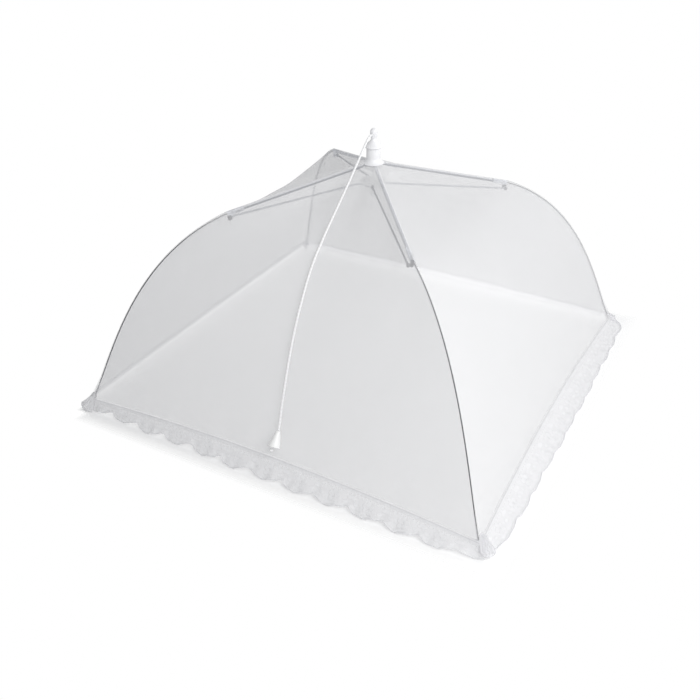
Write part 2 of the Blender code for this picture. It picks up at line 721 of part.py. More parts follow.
def make_crown():
    """Notch, hinge ring, bell and cap, which stay still while the ribs fold."""
    bottom = CROWN_HINGE_HEIGHT - NOTCH_BOTTOM_DROP
    groove_low = CROWN_HINGE_HEIGHT - NOTCH_GROOVE_HEIGHT / 2
    groove_high = CROWN_HINGE_HEIGHT + NOTCH_GROOVE_HEIGHT / 2
    spigot_top = cap_seat() + SPIGOT_CAP_DEPTH
    bore = CORD_BORE_RADIUS
    outline = [
        (bore, bottom), (NOTCH_RADIUS, bottom), (NOTCH_RADIUS, groove_low), (NOTCH_GROOVE_RADIUS, groove_low),
        (NOTCH_GROOVE_RADIUS, groove_high), (NOTCH_RADIUS, groove_high), (NOTCH_RADIUS, notch_top()),
        (SPIGOT_RADIUS, notch_top()), (SPIGOT_RADIUS, spigot_top), (bore, spigot_top),
    ]
    cuts = slots(NOTCH_SLOT_WIDTH, NOTCH_SLOT_ROOT, NOTCH_RADIUS, bottom - CUT_OVERRUN, notch_top() + FIT_GAP)
    placed("crown_notch", combined(turned(outline), *cuts), "white_plastic")
    placed("crown_ring", torus(CROWN_HINGE_RADIUS, RING_WIRE_RADIUS, CROWN_HINGE_HEIGHT), "steel")

    rim, top = bell_rim_height(), bell_rim_height() + BELL_HEIGHT
    hole = SPIGOT_RADIUS + FIT_GAP
    flare = np.linspace(0, 1, BEND_STEPS + 2)
    skirt = [
        (BELL_RADIUS + (BELL_RIM_RADIUS - BELL_RADIUS) * (1 - x) ** 2, rim + BELL_FLARE_HEIGHT * x) for x in flare
    ]
    lip = (BELL_RIM_RADIUS, rim + FIT_GAP)
    outline = [(hole, rim), (BELL_RIM_RADIUS - FIT_GAP, rim), lip, *skirt[1:], (BELL_RADIUS, top), (hole, top)]
    placed("crown_bell", turned(outline), "white_plastic")
    placed("finial_cap", finial_cap_mesh(), "white_plastic")


def finial_cap_mesh():
    """Shouldered cap with a neck and a knob, bored for the cord, which leaves by the knob's side."""
    seat = cap_seat()
    edge_low = seat + CAP_BASE_HEIGHT
    edge_high = edge_low + CAP_EDGE_HEIGHT
    neck_low = edge_high + CAP_CONE_HEIGHT
    knob_low = neck_low + NECK_HEIGHT
    dome = knob_low + KNOB_HEIGHT - KNOB_RADIUS
    turns = np.linspace(0, math.pi / 2, PLAIN_SIDES // 2)
    knob = [(KNOB_RADIUS * math.cos(t), dome + KNOB_RADIUS * math.sin(t)) for t in turns]
    knob[-1] = (0, dome + KNOB_RADIUS)
    pocket = SPIGOT_RADIUS + FIT_GAP
    pocket_top = seat + SPIGOT_CAP_DEPTH + FIT_GAP
    bore, bore_top = CORD_BORE_RADIUS, cord_exit_height() + CORD_BORE_RADIUS
    outline = [
        (0, bore_top), (bore, bore_top), (bore, pocket_top), (pocket, pocket_top), (pocket, seat),
        (BELL_RADIUS, seat), (CAP_SHOULDER_RADIUS, edge_low), (CAP_SHOULDER_RADIUS, edge_high),
        (NECK_RADIUS, neck_low), (NECK_RADIUS, knob_low - KNOB_CHAMFER), (KNOB_RADIUS, knob_low), *knob,
    ]
    side = pin(bore, 0, KNOB_RADIUS + CUT_OVERRUN, (0, cord_exit_height()))
    side.transform(Matrix.Rotation(CORD_EXIT_TURN - math.pi / 2, 4, "Z"))
    return combined(turned(outline), ("DIFFERENCE", side))


def make_runner():
    """The sliding disc and sleeve below the crown, its hinge ring, and the knot that holds it up."""
    z = runner_hinge_height()
    low, high = z - RUNNER_BELOW, z + RUNNER_ABOVE
    groove_low, groove_high = z - RUNNER_GROOVE_HEIGHT / 2, z + RUNNER_GROOVE_HEIGHT / 2
    bottom, top = z - RUNNER_SLEEVE_BELOW, z + RUNNER_SLEEVE_ABOVE
    bore, sleeve = CORD_BORE_RADIUS, RUNNER_SLEEVE_RADIUS
    outline = [
        (bore, bottom), (sleeve, bottom), (sleeve, low), (RUNNER_RADIUS, low), (RUNNER_RADIUS, groove_low),
        (RUNNER_GROOVE_RADIUS, groove_low), (RUNNER_GROOVE_RADIUS, groove_high), (RUNNER_RADIUS, groove_high),
        (RUNNER_RADIUS, high), (sleeve, high), (sleeve, top), (bore, top),
    ]
    cuts = slots(RUNNER_SLOT_WIDTH, RUNNER_SLOT_ROOT, RUNNER_RADIUS, low - CUT_OVERRUN, high + CUT_OVERRUN,
                 STRETCHER_OFFSET)
    pivot = (0, 0, z)
    placed("runner_hub", about(combined(turned(outline), *cuts), pivot), "white_plastic", pivot)
    ring = torus(RUNNER_HINGE_RADIUS, RING_WIRE_RADIUS, z)
    placed("runner_ring", about(ring, pivot), "steel", pivot)
    knot_middle = bottom - FIT_GAP - STOP_KNOT_RADIUS
    knot = ball(STOP_KNOT_RADIUS, (0, 0, knot_middle))
    placed("stop_knot", about(knot, pivot), "cord", pivot)


def ball(radius, centre, squash=1):
    """A knot's rounded solid."""
    turns = np.linspace(-math.pi / 2, math.pi / 2, PLAIN_SIDES // 2 + 1)
    outline = [(radius * math.cos(t), radius * squash * math.sin(t)) for t in turns]
    outline[0], outline[-1] = (0, outline[0][1]), (0, outline[-1][1])
    made = turned(outline, PLAIN_SIDES)
    made.transform(Matrix.Translation(centre))
    return made


def smooth_route(points, spacing):
    """Places evenly spaced along the smooth curve that passes through the points."""
    points = np.array(points, float)
    steps = np.linalg.norm(np.diff(points, axis=0), axis=1)
    run = np.concatenate([[0], np.cumsum(steps)])
    ways = np.gradient(points, run, axis=0)
    count = round(run[-1] / spacing)
    places = []
    for at in np.linspace(0, run[-1], count + 1):
        i = min(int(np.searchsorted(run, at, side="right")) - 1, len(steps) - 1)
        u, long = (at - run[i]) / steps[i], steps[i]
        places.append(
            (2 * u**3 - 3 * u**2 + 1) * points[i] + (u**3 - 2 * u**2 + u) * long * ways[i]
            + (3 * u**2 - 2 * u**3) * points[i + 1] + (u**3 - u**2) * long * ways[i + 1]
        )
    return places


def toggle_mesh():
    """A moulded bell on the cord's end, from its narrow top down to its open foot."""
    top, bottom = Vector(TOGGLE_TOP), Vector(TOGGLE_BOTTOM)
    long = (bottom - top).length
    shares = np.linspace(0, 1, PLAIN_SIDES // 2)
    swell = TOGGLE_RADIUS - TOGGLE_TOP_RADIUS
    side = [(TOGGLE_TOP_RADIUS + swell * x**TOGGLE_FLARE_SHARE, long * x) for x in shares]
    made = turned([(0, 0), *side, (0, long)], PLAIN_SIDES)
    turn = (bottom - top).to_track_quat("Z", "Y").to_matrix().to_4x4()
    made.transform(Matrix.Translation(top) @ turn)
    return made


def make_cord():
    """The cord inside the crown, the free cord over the net, and its toggle and tail knot."""
    turn = CORD_EXIT_TURN
    exit_z = cord_exit_height()
    low = runner_hinge_height() - RUNNER_SLEEVE_BELOW - FIT_GAP / 2
    bend = CORD_BORE_RADIUS
    sweep = np.linspace(0, math.pi / 2, BEND_STEPS + 1)
    rise = [(0, 0, low), (0, 0, (low + exit_z) / 2)]
    over = [(bend * (1 - math.cos(t)), exit_z - bend + bend * math.sin(t)) for t in sweep]
    over.append((KNOB_RADIUS, exit_z))
    out = [(r * math.cos(turn), r * math.sin(turn), z) for r, z in over]
    placed("cord_core", tube_mesh(rise + out, CORD_RADIUS), "cord")
    route = tube(smooth_route(CORD_ROUTE, CORD_POINT_SPACING), CORD_RADIUS, "pull_cord")
    route.materials.append(finish("cord"))
    linked("pull_cord", route)
    placed("cord_toggle", toggle_mesh(), "white_plastic")
    placed("tail_knot", ball(TAIL_KNOT_RADIUS, TAIL_KNOT_PLACE), "cord")


def rib_pieces(sway):
    """The (kind, mesh, pivot, material) of each piece on a rib, in its corner's frame."""
    crown = Vector((CROWN_HINGE_RADIUS, 0, CROWN_HINGE_HEIGHT))
    runner = Vector((runner_hinge_place()[0], 0, runner_hinge_place()[1]))
    rivet = Vector((rivet_place()[0], 0, rivet_place()[1]))
    wire = wire_pivot(sway)
    upper = Matrix.Rotation(upper_turn(sway), 4, "Z")
    foot = Matrix.Translation((FOOT_RADIUS, 0, 0))
    lower = foot @ Matrix.Rotation(lower_turn(sway), 4, "Z") @ foot.inverted()
    stiff = [
        ("rib_channel", channel_mesh(), crown, "steel"),
        ("rib_bracket", bracket_mesh(), crown, "dark_steel"),
        ("stretcher", stretcher_mesh(), runner, "steel"),
        ("stretcher_rivet", about(rivet_mesh(), runner - rivet), runner, "dark_steel"),
    ]
    ends = [("foot_cap", foot_cap_mesh(), "white_plastic"), ("hem_sleeve", hem_sleeve_mesh(), "lace")]
    for _, mesh, _, _ in stiff:
        mesh.transform(upper)
    for _, mesh, _ in ends:
        mesh.transform(lower)
    return [
        *((kind, mesh, upper @ pivot, material) for kind, mesh, pivot, material in stiff),
        *((kind, about(mesh, wire), wire, material) for kind, mesh, material in ends),
        ("rib_wire", about(wire_mesh(sway), wire), wire, "dark_steel"),
        ("net_upper", about(net_upper_mesh(sway), upper @ crown), upper @ crown, "net"),
        ("net_lower", about(net_lower_mesh(sway), wire), wire, "net"),
        ("lace", about(lace_mesh(), wire), wire, "lace"),
    ]


def make_ribs():
    """Four ribs with their brackets, wires, feet, stretchers and shares of the canopy."""
    pieces = {sway: rib_pieces(sway) for sway in sorted(set(SWAYS.values()))}
    for corner, degrees in CORNERS.items():
        frame = linked("rib_" + corner, None)
        frame.rotation_euler[2] = math.radians(degrees)
        for kind, mesh, pivot, material in pieces[SWAYS[corner]]:
            placed(kind + "_" + corner, mesh, material, pivot, frame)


def main():
    for old in list(bpy.data.objects):
        bpy.data.objects.remove(old)
    make_crown()
    make_runner()
    make_cord()
    make_ribs()


main()
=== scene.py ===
"""Pop-up mesh food cover: the looks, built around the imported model.

The net, lace, wires, finial and cord are surfaces worked out here in real sizes. They lie where the
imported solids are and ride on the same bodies. Every place is in metres, with the table top at z = 0,
the finial over the origin and the canopy's sides square to X and Y.
"""

import math

import bmesh
import bpy
import numpy as np
from mathutils import Matrix, Vector


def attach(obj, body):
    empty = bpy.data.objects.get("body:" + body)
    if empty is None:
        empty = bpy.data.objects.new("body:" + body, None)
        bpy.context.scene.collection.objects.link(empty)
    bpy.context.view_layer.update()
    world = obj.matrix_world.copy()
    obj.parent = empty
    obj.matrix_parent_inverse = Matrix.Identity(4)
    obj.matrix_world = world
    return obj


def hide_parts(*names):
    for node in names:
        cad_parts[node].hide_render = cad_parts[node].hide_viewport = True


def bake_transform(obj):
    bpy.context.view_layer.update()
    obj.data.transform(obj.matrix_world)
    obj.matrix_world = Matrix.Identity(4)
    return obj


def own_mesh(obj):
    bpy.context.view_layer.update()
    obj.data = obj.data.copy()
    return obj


bl_info = {
    "name": "Mesh Food Cover",
    "version": (1, 0, 0),
    "blender": (4, 5, 0),
    "location": "View3D > Sidebar > Food Cover",
    "description": "Net canopy, lace hem, sprung ribs, crown and pull cord of a pop-up food cover",
    "category": "Object",
}

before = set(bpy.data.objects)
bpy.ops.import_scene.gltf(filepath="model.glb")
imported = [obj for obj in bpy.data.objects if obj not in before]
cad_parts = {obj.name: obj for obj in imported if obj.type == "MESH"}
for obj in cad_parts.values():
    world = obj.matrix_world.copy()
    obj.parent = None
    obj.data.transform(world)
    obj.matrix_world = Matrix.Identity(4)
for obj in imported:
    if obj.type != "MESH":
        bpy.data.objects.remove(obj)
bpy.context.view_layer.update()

# Ribs: azimuth of each one, and the line of its channel and wire as (r, z) places
RIBS = {"front_left": 225, "front_right": 315, "back_right": 45, "back_left": 135}
RIB_SWAY = {"front_left": 0.0, "front_right": -0.0100, "back_right": 0.0, "back_left": 0.0}
SWAY_FADE = 1.5
CROWN_HINGE = np.array([0.0072, 0.2224])
BRACKET = np.array([0.1428, 0.1886])
FOOT = np.array([0.2935, 0.0040])
WIRE_START = (math.radians(19.9), 0.1026)
WIRE_END = (math.radians(58), 0.0498)
CHANNEL_LENGTH = float(np.hypot(*(BRACKET - CROWN_HINGE)))
WIRE_RADIUS = 0.00058
WIRE_RISE = 0.0009

# Net: where it starts, its stand-off over the ribs and its saddle between them
NET_START = 0.0093
NET_SQUARE = 0.0450
NET_OFFSETS = (0.00245, 0.0024, 0.0021, 0.0033)
NET_FOOT_RUN = 0.0150
NET_BOW_RUN = 0.0300
NET_SAG = 0.0075
NET_SOFT_RUN = 0.0130
NET_TUCK = 0.0012
RIB_SAMPLES = 400
HEM_SAG = 0.0019
HEM_HEIGHT = 0.0120
# Ribs whose wire has a tape sewn round it, and ribs whose seam's stitches are let out
CASED_RIBS = ("back_left",)
CASING_RADIUS = 0.0012
CASING_TURN = math.radians(115)
CASING_ROWS = slice(3, -9)
SEAM_LET_OUT = {"front_left": 0.55}

# Lace border
SCALLOP_PITCH = 0.03354
SCALLOP_SKEW = 0.22
SCALLOP_SHIFT = 1.2
LACE_WIDTH = 0.0180
LACE_HEADING = 0.0030
LACE_OVER_NET = 0.0007
LACE_FLOOR = 0.0008
LACE_ROLL = 0.0004
LACE_PUCKER = 0.0007
LACE_CURL = 0.0012
LACE_STRAYS = (0.0006, 0.0005)
ROLL_ROWS = 7
LACE_CORNER = 0.0180
LACE_CORNER_REACH = {"front_left": 0.0030, "front_right": 0.0097, "back_right": 0.0062, "back_left": 0.0097}
# Sides whose lace is seen through the net, and passes more light: a lit copy of the lace, painted light
FAR_SIDES = (90, 180)
# Each corner's gather: how far beside the rib it starts and ends, how much longer it is, and its size
GATHER_START = (0.2890, 0.0130)
GATHER_RUN = (0.0150, 0.0092)
GATHER_NECK = 0.0026
GATHER_SWELL = 0.0038
GATHERS = {
    "front_left": (0.0, 0.0090, -0.0015, 1.30), "front_right": (0.0035, 0.0040, 0.0035, 0.82),
    "back_right": (0.0, 0.0, -0.0030, 0.55), "back_left": (0.0, 0.0, -0.0020, 0.6),
}
# Each side's lace: a notch's place along it, then its reach and its notches' depth at one end, the
# middle and the other end
LACE_SIDES = {
    270: (-0.0085, (0.0096, 0.0146, 0.0172), (0.0038, 0.0038, 0.0026)),
    0: (0.0040, (0.0176, 0.0196, 0.0180), (0.0012, 0.0008, 0.0012)),
    90: (0.0110, (0.0160, 0.0150, 0.0140), (0.0044, 0.0048, 0.0044)),
    180: (-0.0020, (0.0140, 0.0140, 0.0110), (0.0048, 0.0048, 0.0048)),
}

# Free cord: out of the knob, straight down to the net, then along the front panel
CORD_EXIT = (-0.0003, -0.0037, 0.2516)
CORD_ROUTE = [
    (-0.0003, -0.0037, 0.2516), (-0.0005, -0.0062, 0.2513), (-0.0006, -0.0100, 0.2496),
    (-0.0003, -0.0180, 0.2443), (0.0001, -0.0280, 0.2370), (0.0006, -0.0394, 0.2289),
    (0.0013, -0.0582, 0.2154), (0.0020, -0.0786, 0.2015), (0.0027, -0.0950, 0.1905),
    (0.0034, -0.1060, 0.1829), (0.0040, -0.1159, 0.1759), (0.0047, -0.1240, 0.1692),
    (0.0052, -0.1311, 0.1623), (0.0062, -0.1430, 0.1481), (0.0068, -0.1540, 0.1324),
    (0.0073, -0.1620, 0.1189), (0.0079, -0.1700, 0.1038), (0.0084, -0.1770, 0.0886),
    (0.0090, -0.1840, 0.0723), (0.0096, -0.1905, 0.0564), (0.0103, -0.1947, 0.0462),
    (0.0107, -0.1974, 0.0409),
]
CORD_STEP = 0.0012
TOGGLE_TOP = (0.0107, -0.1975, 0.0405)
TOGGLE_BOTTOM = (0.0112, -0.2067, 0.0290)
TOGGLE_NECK = 0.0016
TOGGLE_SWELL = 0.0040
TOGGLE_GROOVE = 0.00025
TOGGLE_WALL = 0.0008
TOGGLE_BORE = 0.0011
TAIL_KNOT = (0.0095, -0.2089, 0.0268)
TAIL_KNOT_RADIUS = 0.0021
STOP_KNOT_DROP = 0.0029
STOP_KNOT_RADIUS = 0.0026
CORE_BEND = 0.0016
CORE_END = 0.0036
CORE_AZIMUTH = math.radians(-95)
RUNNER_FOOT = 0.1945

# Crown: heights of the bell's foot and the finial's seat, and the outlines' radii
BELL_FOOT = 0.2239
BELL_RISE = 0.0052
BELL_RADIUS = 0.0067
BELL_FLARE = 0.0038
CROWN_BORE = 0.0041
CAP_SEAT = 0.2380
CAP_HEIGHT = 0.0192
KNOB_RADIUS = 0.0034
# The finial's cap, neck and knob as (r, height over the seat) places, bottom to top
CAP_OUTLINE = (
    (0, 0.0021), (0.0039, 0.0021), (0.0039, 0), (0.0067, 0), (0.0084, 0.0012), (0.0085, 0.0024),
    (0.0031, 0.0076), (0.0026, 0.0090), (0.0026, 0.0104), (0.0034, 0.0116),
)

# Camera, as solved from the photograph
CAMERA_PLACE = (0.3501, -0.6840, 0.4990)
CAMERA_TARGET = (-0.02524, 0.0, 0.00510)
CAMERA_LENS = 43.04
CAMERA_SENSOR = 36.0

# Depth of a moulded or plated skin's grain
PEEL_DEPTH = 0.00003

# Lamps: place, power in watts and width, and the light of the surroundings
LAMPS = {
    "key": ((0.55, -0.45, 0.60), 3.7, 0.6),
    "side": ((0.90, 0.55, 0.75), 3.7, 0.7),
    "back": ((0.1, 1.2, 0.90), 1.9, 1.0),
}
LAMP_TARGET = (0, 0, 0.08)
SKY_COLOUR = (0.97, 0.98, 1.0, 1)
SKY_STRENGTH = 0.46

# Table: how clear it looks under the cover, and where it fades to the white surroundings
FLOOR_HALF = 3.0
FLOOR_DROP = 0.0003
FLOOR_CLEAR = 0.50
FLOOR_NEAR = 0.2222
FLOOR_FADE = 0.0140
FLOOR_RIM = 0.2120
FLOOR_RIM_SHADE = 0.28
FLOOR_LEFT = 0.2100
FLOOR_SIDE_FADE = 0.0060
FLOOR_FRONT = 0.2190
FLOOR_FRONT_FADE = 0.0040
FLOOR_FRONT_LEFT = 0.1970
FLOOR_FRONT_LEFT_FADE = 0.0100


def smooth_step(share):
    """3s^2 - 2s^3, with s held between 0 and 1."""
    share = np.clip(share, 0, 1)
    return share * share * (3 - 2 * share)


def unit(vectors):
    """The vectors, each divided by its length."""
    return vectors / np.linalg.norm(vectors, axis=-1, keepdims=True)


def run_along(points):
    """Distance along a line of points, from 0 at its first."""
    return np.concatenate([[0], np.cumsum(np.linalg.norm(np.diff(points, axis=0), axis=1))])


def paired(first, second):
    """Two grids of numbers as one grid of pairs, each spread over the other's rows or columns."""
    return np.stack(np.broadcast_arrays(first, second), -1)


def turned(azimuth, out, beside, z):
    """World places from a distance out along an azimuth, one to the left of it, and a height."""
    x = out * math.cos(azimuth) - beside * math.sin(azimuth)
    y = out * math.sin(azimuth) + beside * math.cos(azimuth)
    return np.stack(np.broadcast_arrays(x, y, z), -1)


# Rib and net lines


def wire_line(share):
    """(r, z) of the sprung wire: the cubic curve with its ends and end slopes given."""
    u = np.asarray(share, float)[..., None]
    out = BRACKET + WIRE_START[1] * np.array([math.cos(WIRE_START[0]), -math.sin(WIRE_START[0])])
    back = FOOT + WIRE_END[1] * np.array([-math.cos(WIRE_END[0]), math.sin(WIRE_END[0])])
    return (1 - u) ** 3 * BRACKET + 3 * u * (1 - u) ** 2 * out + 3 * u * u * (1 - u) * back + u**3 * FOOT


def lean_share(r):
    """How much of a rib's lean is left at r: none at the crown and the foot, all of it at the bracket."""
    return np.clip(np.minimum(r / BRACKET[0], (FOOT[0] - r) / (FOOT[0] - BRACKET[0])), 0, 1)


def rib_turned(rib, r, beside, z):
    """World places from a distance out along a rib's azimuth, one beside it, and a height."""
    return turned(math.radians(RIBS[rib]), r, beside, z)


def wire_path(rib, steps=110, rise=WIRE_RISE):
    """Places of a rib's wire: the (r, z) curve, raised by a sine to the net, on a straight line in plan."""
    u = np.linspace(0, 1, steps)
    line = wire_line(u)
    way = unit(np.gradient(line, axis=0))
    share = (line[:, 0] - BRACKET[0]) / (FOOT[0] - BRACKET[0])
    lean = math.asin(RIB_SWAY[rib] / BRACKET[0])
    first = BRACKET[0] * math.cos(lean)
    rise = rise * np.sin(math.pi * u) ** 0.7
    r = first + (FOOT[0] - first) * share - rise * way[:, 1]
    return rib_turned(rib, r, RIB_SWAY[rib] * (1 - share), line[:, 1] + rise * way[:, 0])


def net_table():
    """Run, (r, z) and slope of the net over a rib: the rib's line moved out square to itself."""
    channel = CROWN_HINGE + np.linspace(0, 1, RIB_SAMPLES)[:, None] * (BRACKET - CROWN_HINGE)
    line = np.concatenate([channel, wire_line(np.linspace(0, 1, RIB_SAMPLES)[1:])])
    way = unit(np.gradient(line, axis=0))
    run = run_along(line)
    cap = run[-1] - NET_FOOT_RUN
    bow = [CHANNEL_LENGTH, CHANNEL_LENGTH + NET_BOW_RUN, cap - NET_FOOT_RUN, cap]
    lift = np.interp(run, [0, *bow], [*NET_OFFSETS[:2], NET_OFFSETS[2], NET_OFFSETS[2], NET_OFFSETS[3]])
    line = line + lift[:, None] * np.stack([-way[:, 1], way[:, 0]], -1)
    fall, out = np.gradient(line[:, 1], run), np.gradient(line[:, 0], run) / math.sqrt(2)
    return run, line, fall / np.hypot(fall, out)


def softened(run, values):
    """The values averaged along the run by a bell curve, exp(-x^2 / 2) of the distance in widths."""
    even = np.linspace(run[0], run[-1], 1200)
    step = even[1] - even[0]
    far = round(3 * NET_SOFT_RUN / step)
    bell = np.exp(-0.5 * (np.arange(-far, far + 1) * step / NET_SOFT_RUN) ** 2)
    column = np.interp(even, run, values)
    ends = [2 * column[0] - column[far:0:-1], column, 2 * column[-1] - column[-2:-far - 2:-1]]
    return np.interp(run, even, np.convolve(np.concatenate(ends), bell / bell.sum(), "valid"))


RUN, NET_LINE, NET_FALL = net_table()
NET_SOFT = np.stack([softened(RUN, NET_LINE[:, 0]), softened(RUN, NET_LINE[:, 1])], -1)
SOFT_FALL = softened(RUN, NET_FALL)
NET_FIRST_RUN = float(np.interp(NET_START, NET_LINE[:, 0], RUN))
HEM_MIDDLE_RUN = float(np.interp(-HEM_HEIGHT, -NET_LINE[RIB_SAMPLES:, 1], RUN[RIB_SAMPLES:]))


def hem_run(turn):
    """Run at the hem: the whole rib at turn 0, and a parabola to the shorter middle at turn 1."""
    return RUN[-1] - (RUN[-1] - HEM_MIDDLE_RUN) * (1 - (1 - turn) ** 2)


def side_place(run, turn, lift=0.0):
    """(out, along, z) on a side: a round cone at the crown that turns into a square saddle.

    turn is 0 at the rib and 1 at the side's middle. The sag is a half parabola across and a sine along.
    """
    away = smooth_step(turn * 3) * smooth_step((run - 0.05) / 0.04) * smooth_step((RUN[-1] - run) / 0.05)
    r, z, fall = (
        np.interp(run, RUN, firm) * (1 - away) + np.interp(run, RUN, soft) * away
        for firm, soft in zip((*NET_LINE.T, NET_FALL), (*NET_SOFT.T, SOFT_FALL))
    )
    square = smooth_step((r - NET_START) / (NET_SQUARE - NET_START))
    half, angle = r / math.sqrt(2), math.pi / 4 * (1 - turn)
    out = square * half + (1 - square) * r * np.cos(angle)
    along = square * half * (1 - turn) + (1 - square) * r * np.sin(angle)
    upper = run < CHANNEL_LENGTH
    share = np.where(upper, run / CHANNEL_LENGTH, (RUN[-1] - run) / (RUN[-1] - CHANNEL_LENGTH))
    sag = NET_SAG * np.sin(share * math.pi / 2) + np.where(upper, 0, HEM_SAG * (1 - share))
    sag = sag * (1 - (1 - turn) ** 2) - lift
    return out + sag * fall, along, z - sag * np.sqrt(1 - fall**2), fall


def net_wrinkle(side, u, run, turn, depth):
    """Small waves in the cloth: rays from the crown, a slow diagonal ripple and gathers at the hem."""
    phase = side * 1.7
    reach = np.maximum(np.interp(run, RUN, NET_LINE[:, 0]) / math.sqrt(2), 0.004)
    rays = np.cos(11 * np.arctan2(u, reach) + phase) * np.exp(-((run - 0.09) / 0.08) ** 2)
    slow = 0.7 * np.cos(2 * math.pi * (u / 0.11 + run / 0.19) + phase)
    hem = 0.5 * np.cos(2 * math.pi * u / 0.043 + 2 * phase) * smooth_step((run - RUN[-1] + 0.07) / 0.07)
    ends = smooth_step((run - NET_FIRST_RUN) / 0.05) * smooth_step((RUN[-1] - run) / 0.02 + 0.2)
    return depth * (rays + slow + hem) * smooth_step(turn * 4) * ends


def panel(rib, sign, run, turn, depth):
    """World places and cloth coordinates on the half side next to a rib, on its left (1) or right (-1)."""
    out, along, z, fall = side_place(run, turn)
    side = math.radians((RIBS[rib] + 45 * sign) % 360)
    u = -sign * along
    wave = net_wrinkle(side, u, run, turn, depth)
    out, z = out - wave * fall, z + wave * np.sqrt(1 - fall**2)
    lean = RIB_SWAY[rib] * lean_share(np.interp(run, RUN, NET_LINE[:, 0])) * (1 - turn) ** SWAY_FADE
    return turned(side, out, u, z) + rib_turned(rib, 0, lean, 0 * z), paired(u, run)


def panel_normals(rib, sign, run, turn, depth, step=0.0004):
    """Outward normals of a half side: the cross product of its steps down and across."""
    down = panel(rib, sign, run + step, turn, depth)[0] - panel(rib, sign, run - step, turn, depth)[0]
    wide = panel(rib, sign, run, turn + 12 * step, depth)[0]
    wide = wide - panel(rib, sign, run, np.maximum(turn - 12 * step, 0), depth)[0]
    return unit(sign * np.cross(down, wide))


def fold_axis(rib, sign, first, last):
    """Anchor on a rib's chord and a direction across the half side beside it.

    The direction is the side's own level line with its part along the rib's chord taken out.
    """
    r, z = (np.interp([first, last], RUN, NET_LINE[:, i]) for i in (0, 1))
    low, high = rib_turned(rib, r, RIB_SWAY[rib] * lean_share(r), z)
    along = unit(high - low)
    side = math.radians(RIBS[rib] + 45 * sign + 90 * sign)
    level = np.array([math.cos(side), math.sin(side), 0])
    return low, unit(level - (level @ along) * along)


# Meshes


def grid_piece(name, places, maps=None, around=False):
    """A piece from a grid of places, with its UV maps given on the same grid.

    A grid that goes around has its last column joined to its first, and maps with one column more.
    """
    rows, columns = places.shape[:2]
    index = np.arange(rows * columns).reshape(rows, columns)
    if around:
        index = np.concatenate([index, index[:, :1]], axis=1)
    quads = np.stack([index[:-1, :-1], index[1:, :-1], index[1:, 1:], index[:-1, 1:]], -1).reshape(-1, 4)
    mesh = bpy.data.meshes.new(name)
    mesh.from_pydata(places.reshape(-1, 3).tolist(), [], quads.tolist())
    for label, grid in (maps or {}).items():
        corners = np.stack([grid[:-1, :-1], grid[1:, :-1], grid[1:, 1:], grid[:-1, 1:]], 2)
        layer = mesh.uv_layers.new(name=label)
        layer.data.foreach_set("uv", corners.reshape(-1).astype(np.float32))
    mesh.shade_smooth()
    made = bpy.data.objects.new(name, mesh)
    bpy.context.scene.collection.objects.link(made)
    return made


def flip_outwards(obj):
    """Merges doubled points, turns the faces outwards and keeps the UV maps."""
    bm = bmesh.new()
    bm.from_mesh(obj.data)
    bmesh.ops.remove_doubles(bm, verts=bm.verts, dist=1e-7)
    bmesh.ops.recalc_face_normals(bm, faces=bm.faces)
    bm.to_mesh(obj.data)
    bm.free()
    obj.data.shade_smooth()
    return obj


def shade_with(obj, normals):
    """Gives an open cloth its exact normals, so that pieces which meet are shaded as one."""
    obj.data.normals_split_custom_set_from_vertices(normals.reshape(-1, 3).tolist())
    return obj


def face_up(obj):
    """Turns an open cloth's faces so that most of them look up and outwards."""
    mesh = obj.data
    normals = np.zeros(len(mesh.polygons) * 3, np.float32)
    centres = np.zeros(len(mesh.polygons) * 3, np.float32)
    mesh.polygons.foreach_get("normal", normals)
    mesh.polygons.foreach_get("center", centres)
    outward = centres.reshape(-1, 3) - np.array([0, 0, -0.1])
    if (normals.reshape(-1, 3) * outward).sum() < 0:
        mesh.flip_normals()
    return obj


def turned_piece(name, outline, sides=64, place=None):
    """An (r, z) outline turned about Z: each ring is (r cos t, r sin t, z)."""
    outline = np.asarray(outline, float)
    angle = np.arange(sides) * math.tau / sides
    r, z = outline[:, :1], outline[:, 1:]
    places = np.stack([r * np.cos(angle), r * np.sin(angle), z + 0 * angle], -1)
    maps = {"surface": paired(np.linspace(0, 1, sides + 1)[None, :], run_along(outline)[:, None])}
    if place is not None:
        places = places @ np.array(place.to_3x3()).T + np.array(place.translation)
    return flip_outwards(grid_piece(name, places, maps, around=True))


def soft_outline(points, radius, steps=5):
    """The outline with each inner corner rounded by a parabola that starts a radius from the corner."""
    points = np.asarray(points, float)
    before, here, after = points[:-2], points[1:-1], points[2:]
    back, ahead = before - here, after - here
    back_long, ahead_long = np.hypot(*back.T)[:, None], np.hypot(*ahead.T)[:, None]
    start = here + back / back_long * np.minimum(radius, back_long * 0.45)
    end = here + ahead / ahead_long * np.minimum(radius, ahead_long * 0.45)
    t = np.linspace(0, 1, steps)[None, :, None]
    curve = (1 - t) ** 2 * start[:, None] + 2 * t * (1 - t) * here[:, None] + t**2 * end[:, None]
    return np.concatenate([points[:1], curve.reshape(-1, 2), points[-1:]])


def smooth_path(points, spacing):
    """Places at even steps along the cubic Hermite curve through the points."""
    points = np.asarray(points, float)
    run = run_along(points)
    long = np.diff(run)
    ways = np.gradient(points, run, axis=0)
    at = np.linspace(0, run[-1], round(run[-1] / spacing) + 1)
    i = np.minimum(np.searchsorted(run, at, side="right") - 1, len(long) - 1)
    u, h = ((at - run[i]) / long[i])[:, None], long[i][:, None]
    return (
        (2 * u**3 - 3 * u**2 + 1) * points[i] + (u**3 - 2 * u**2 + u) * h * ways[i]
        + (3 * u**2 - 2 * u**3) * points[i + 1] + (u**3 - u**2) * h * ways[i + 1]
    )


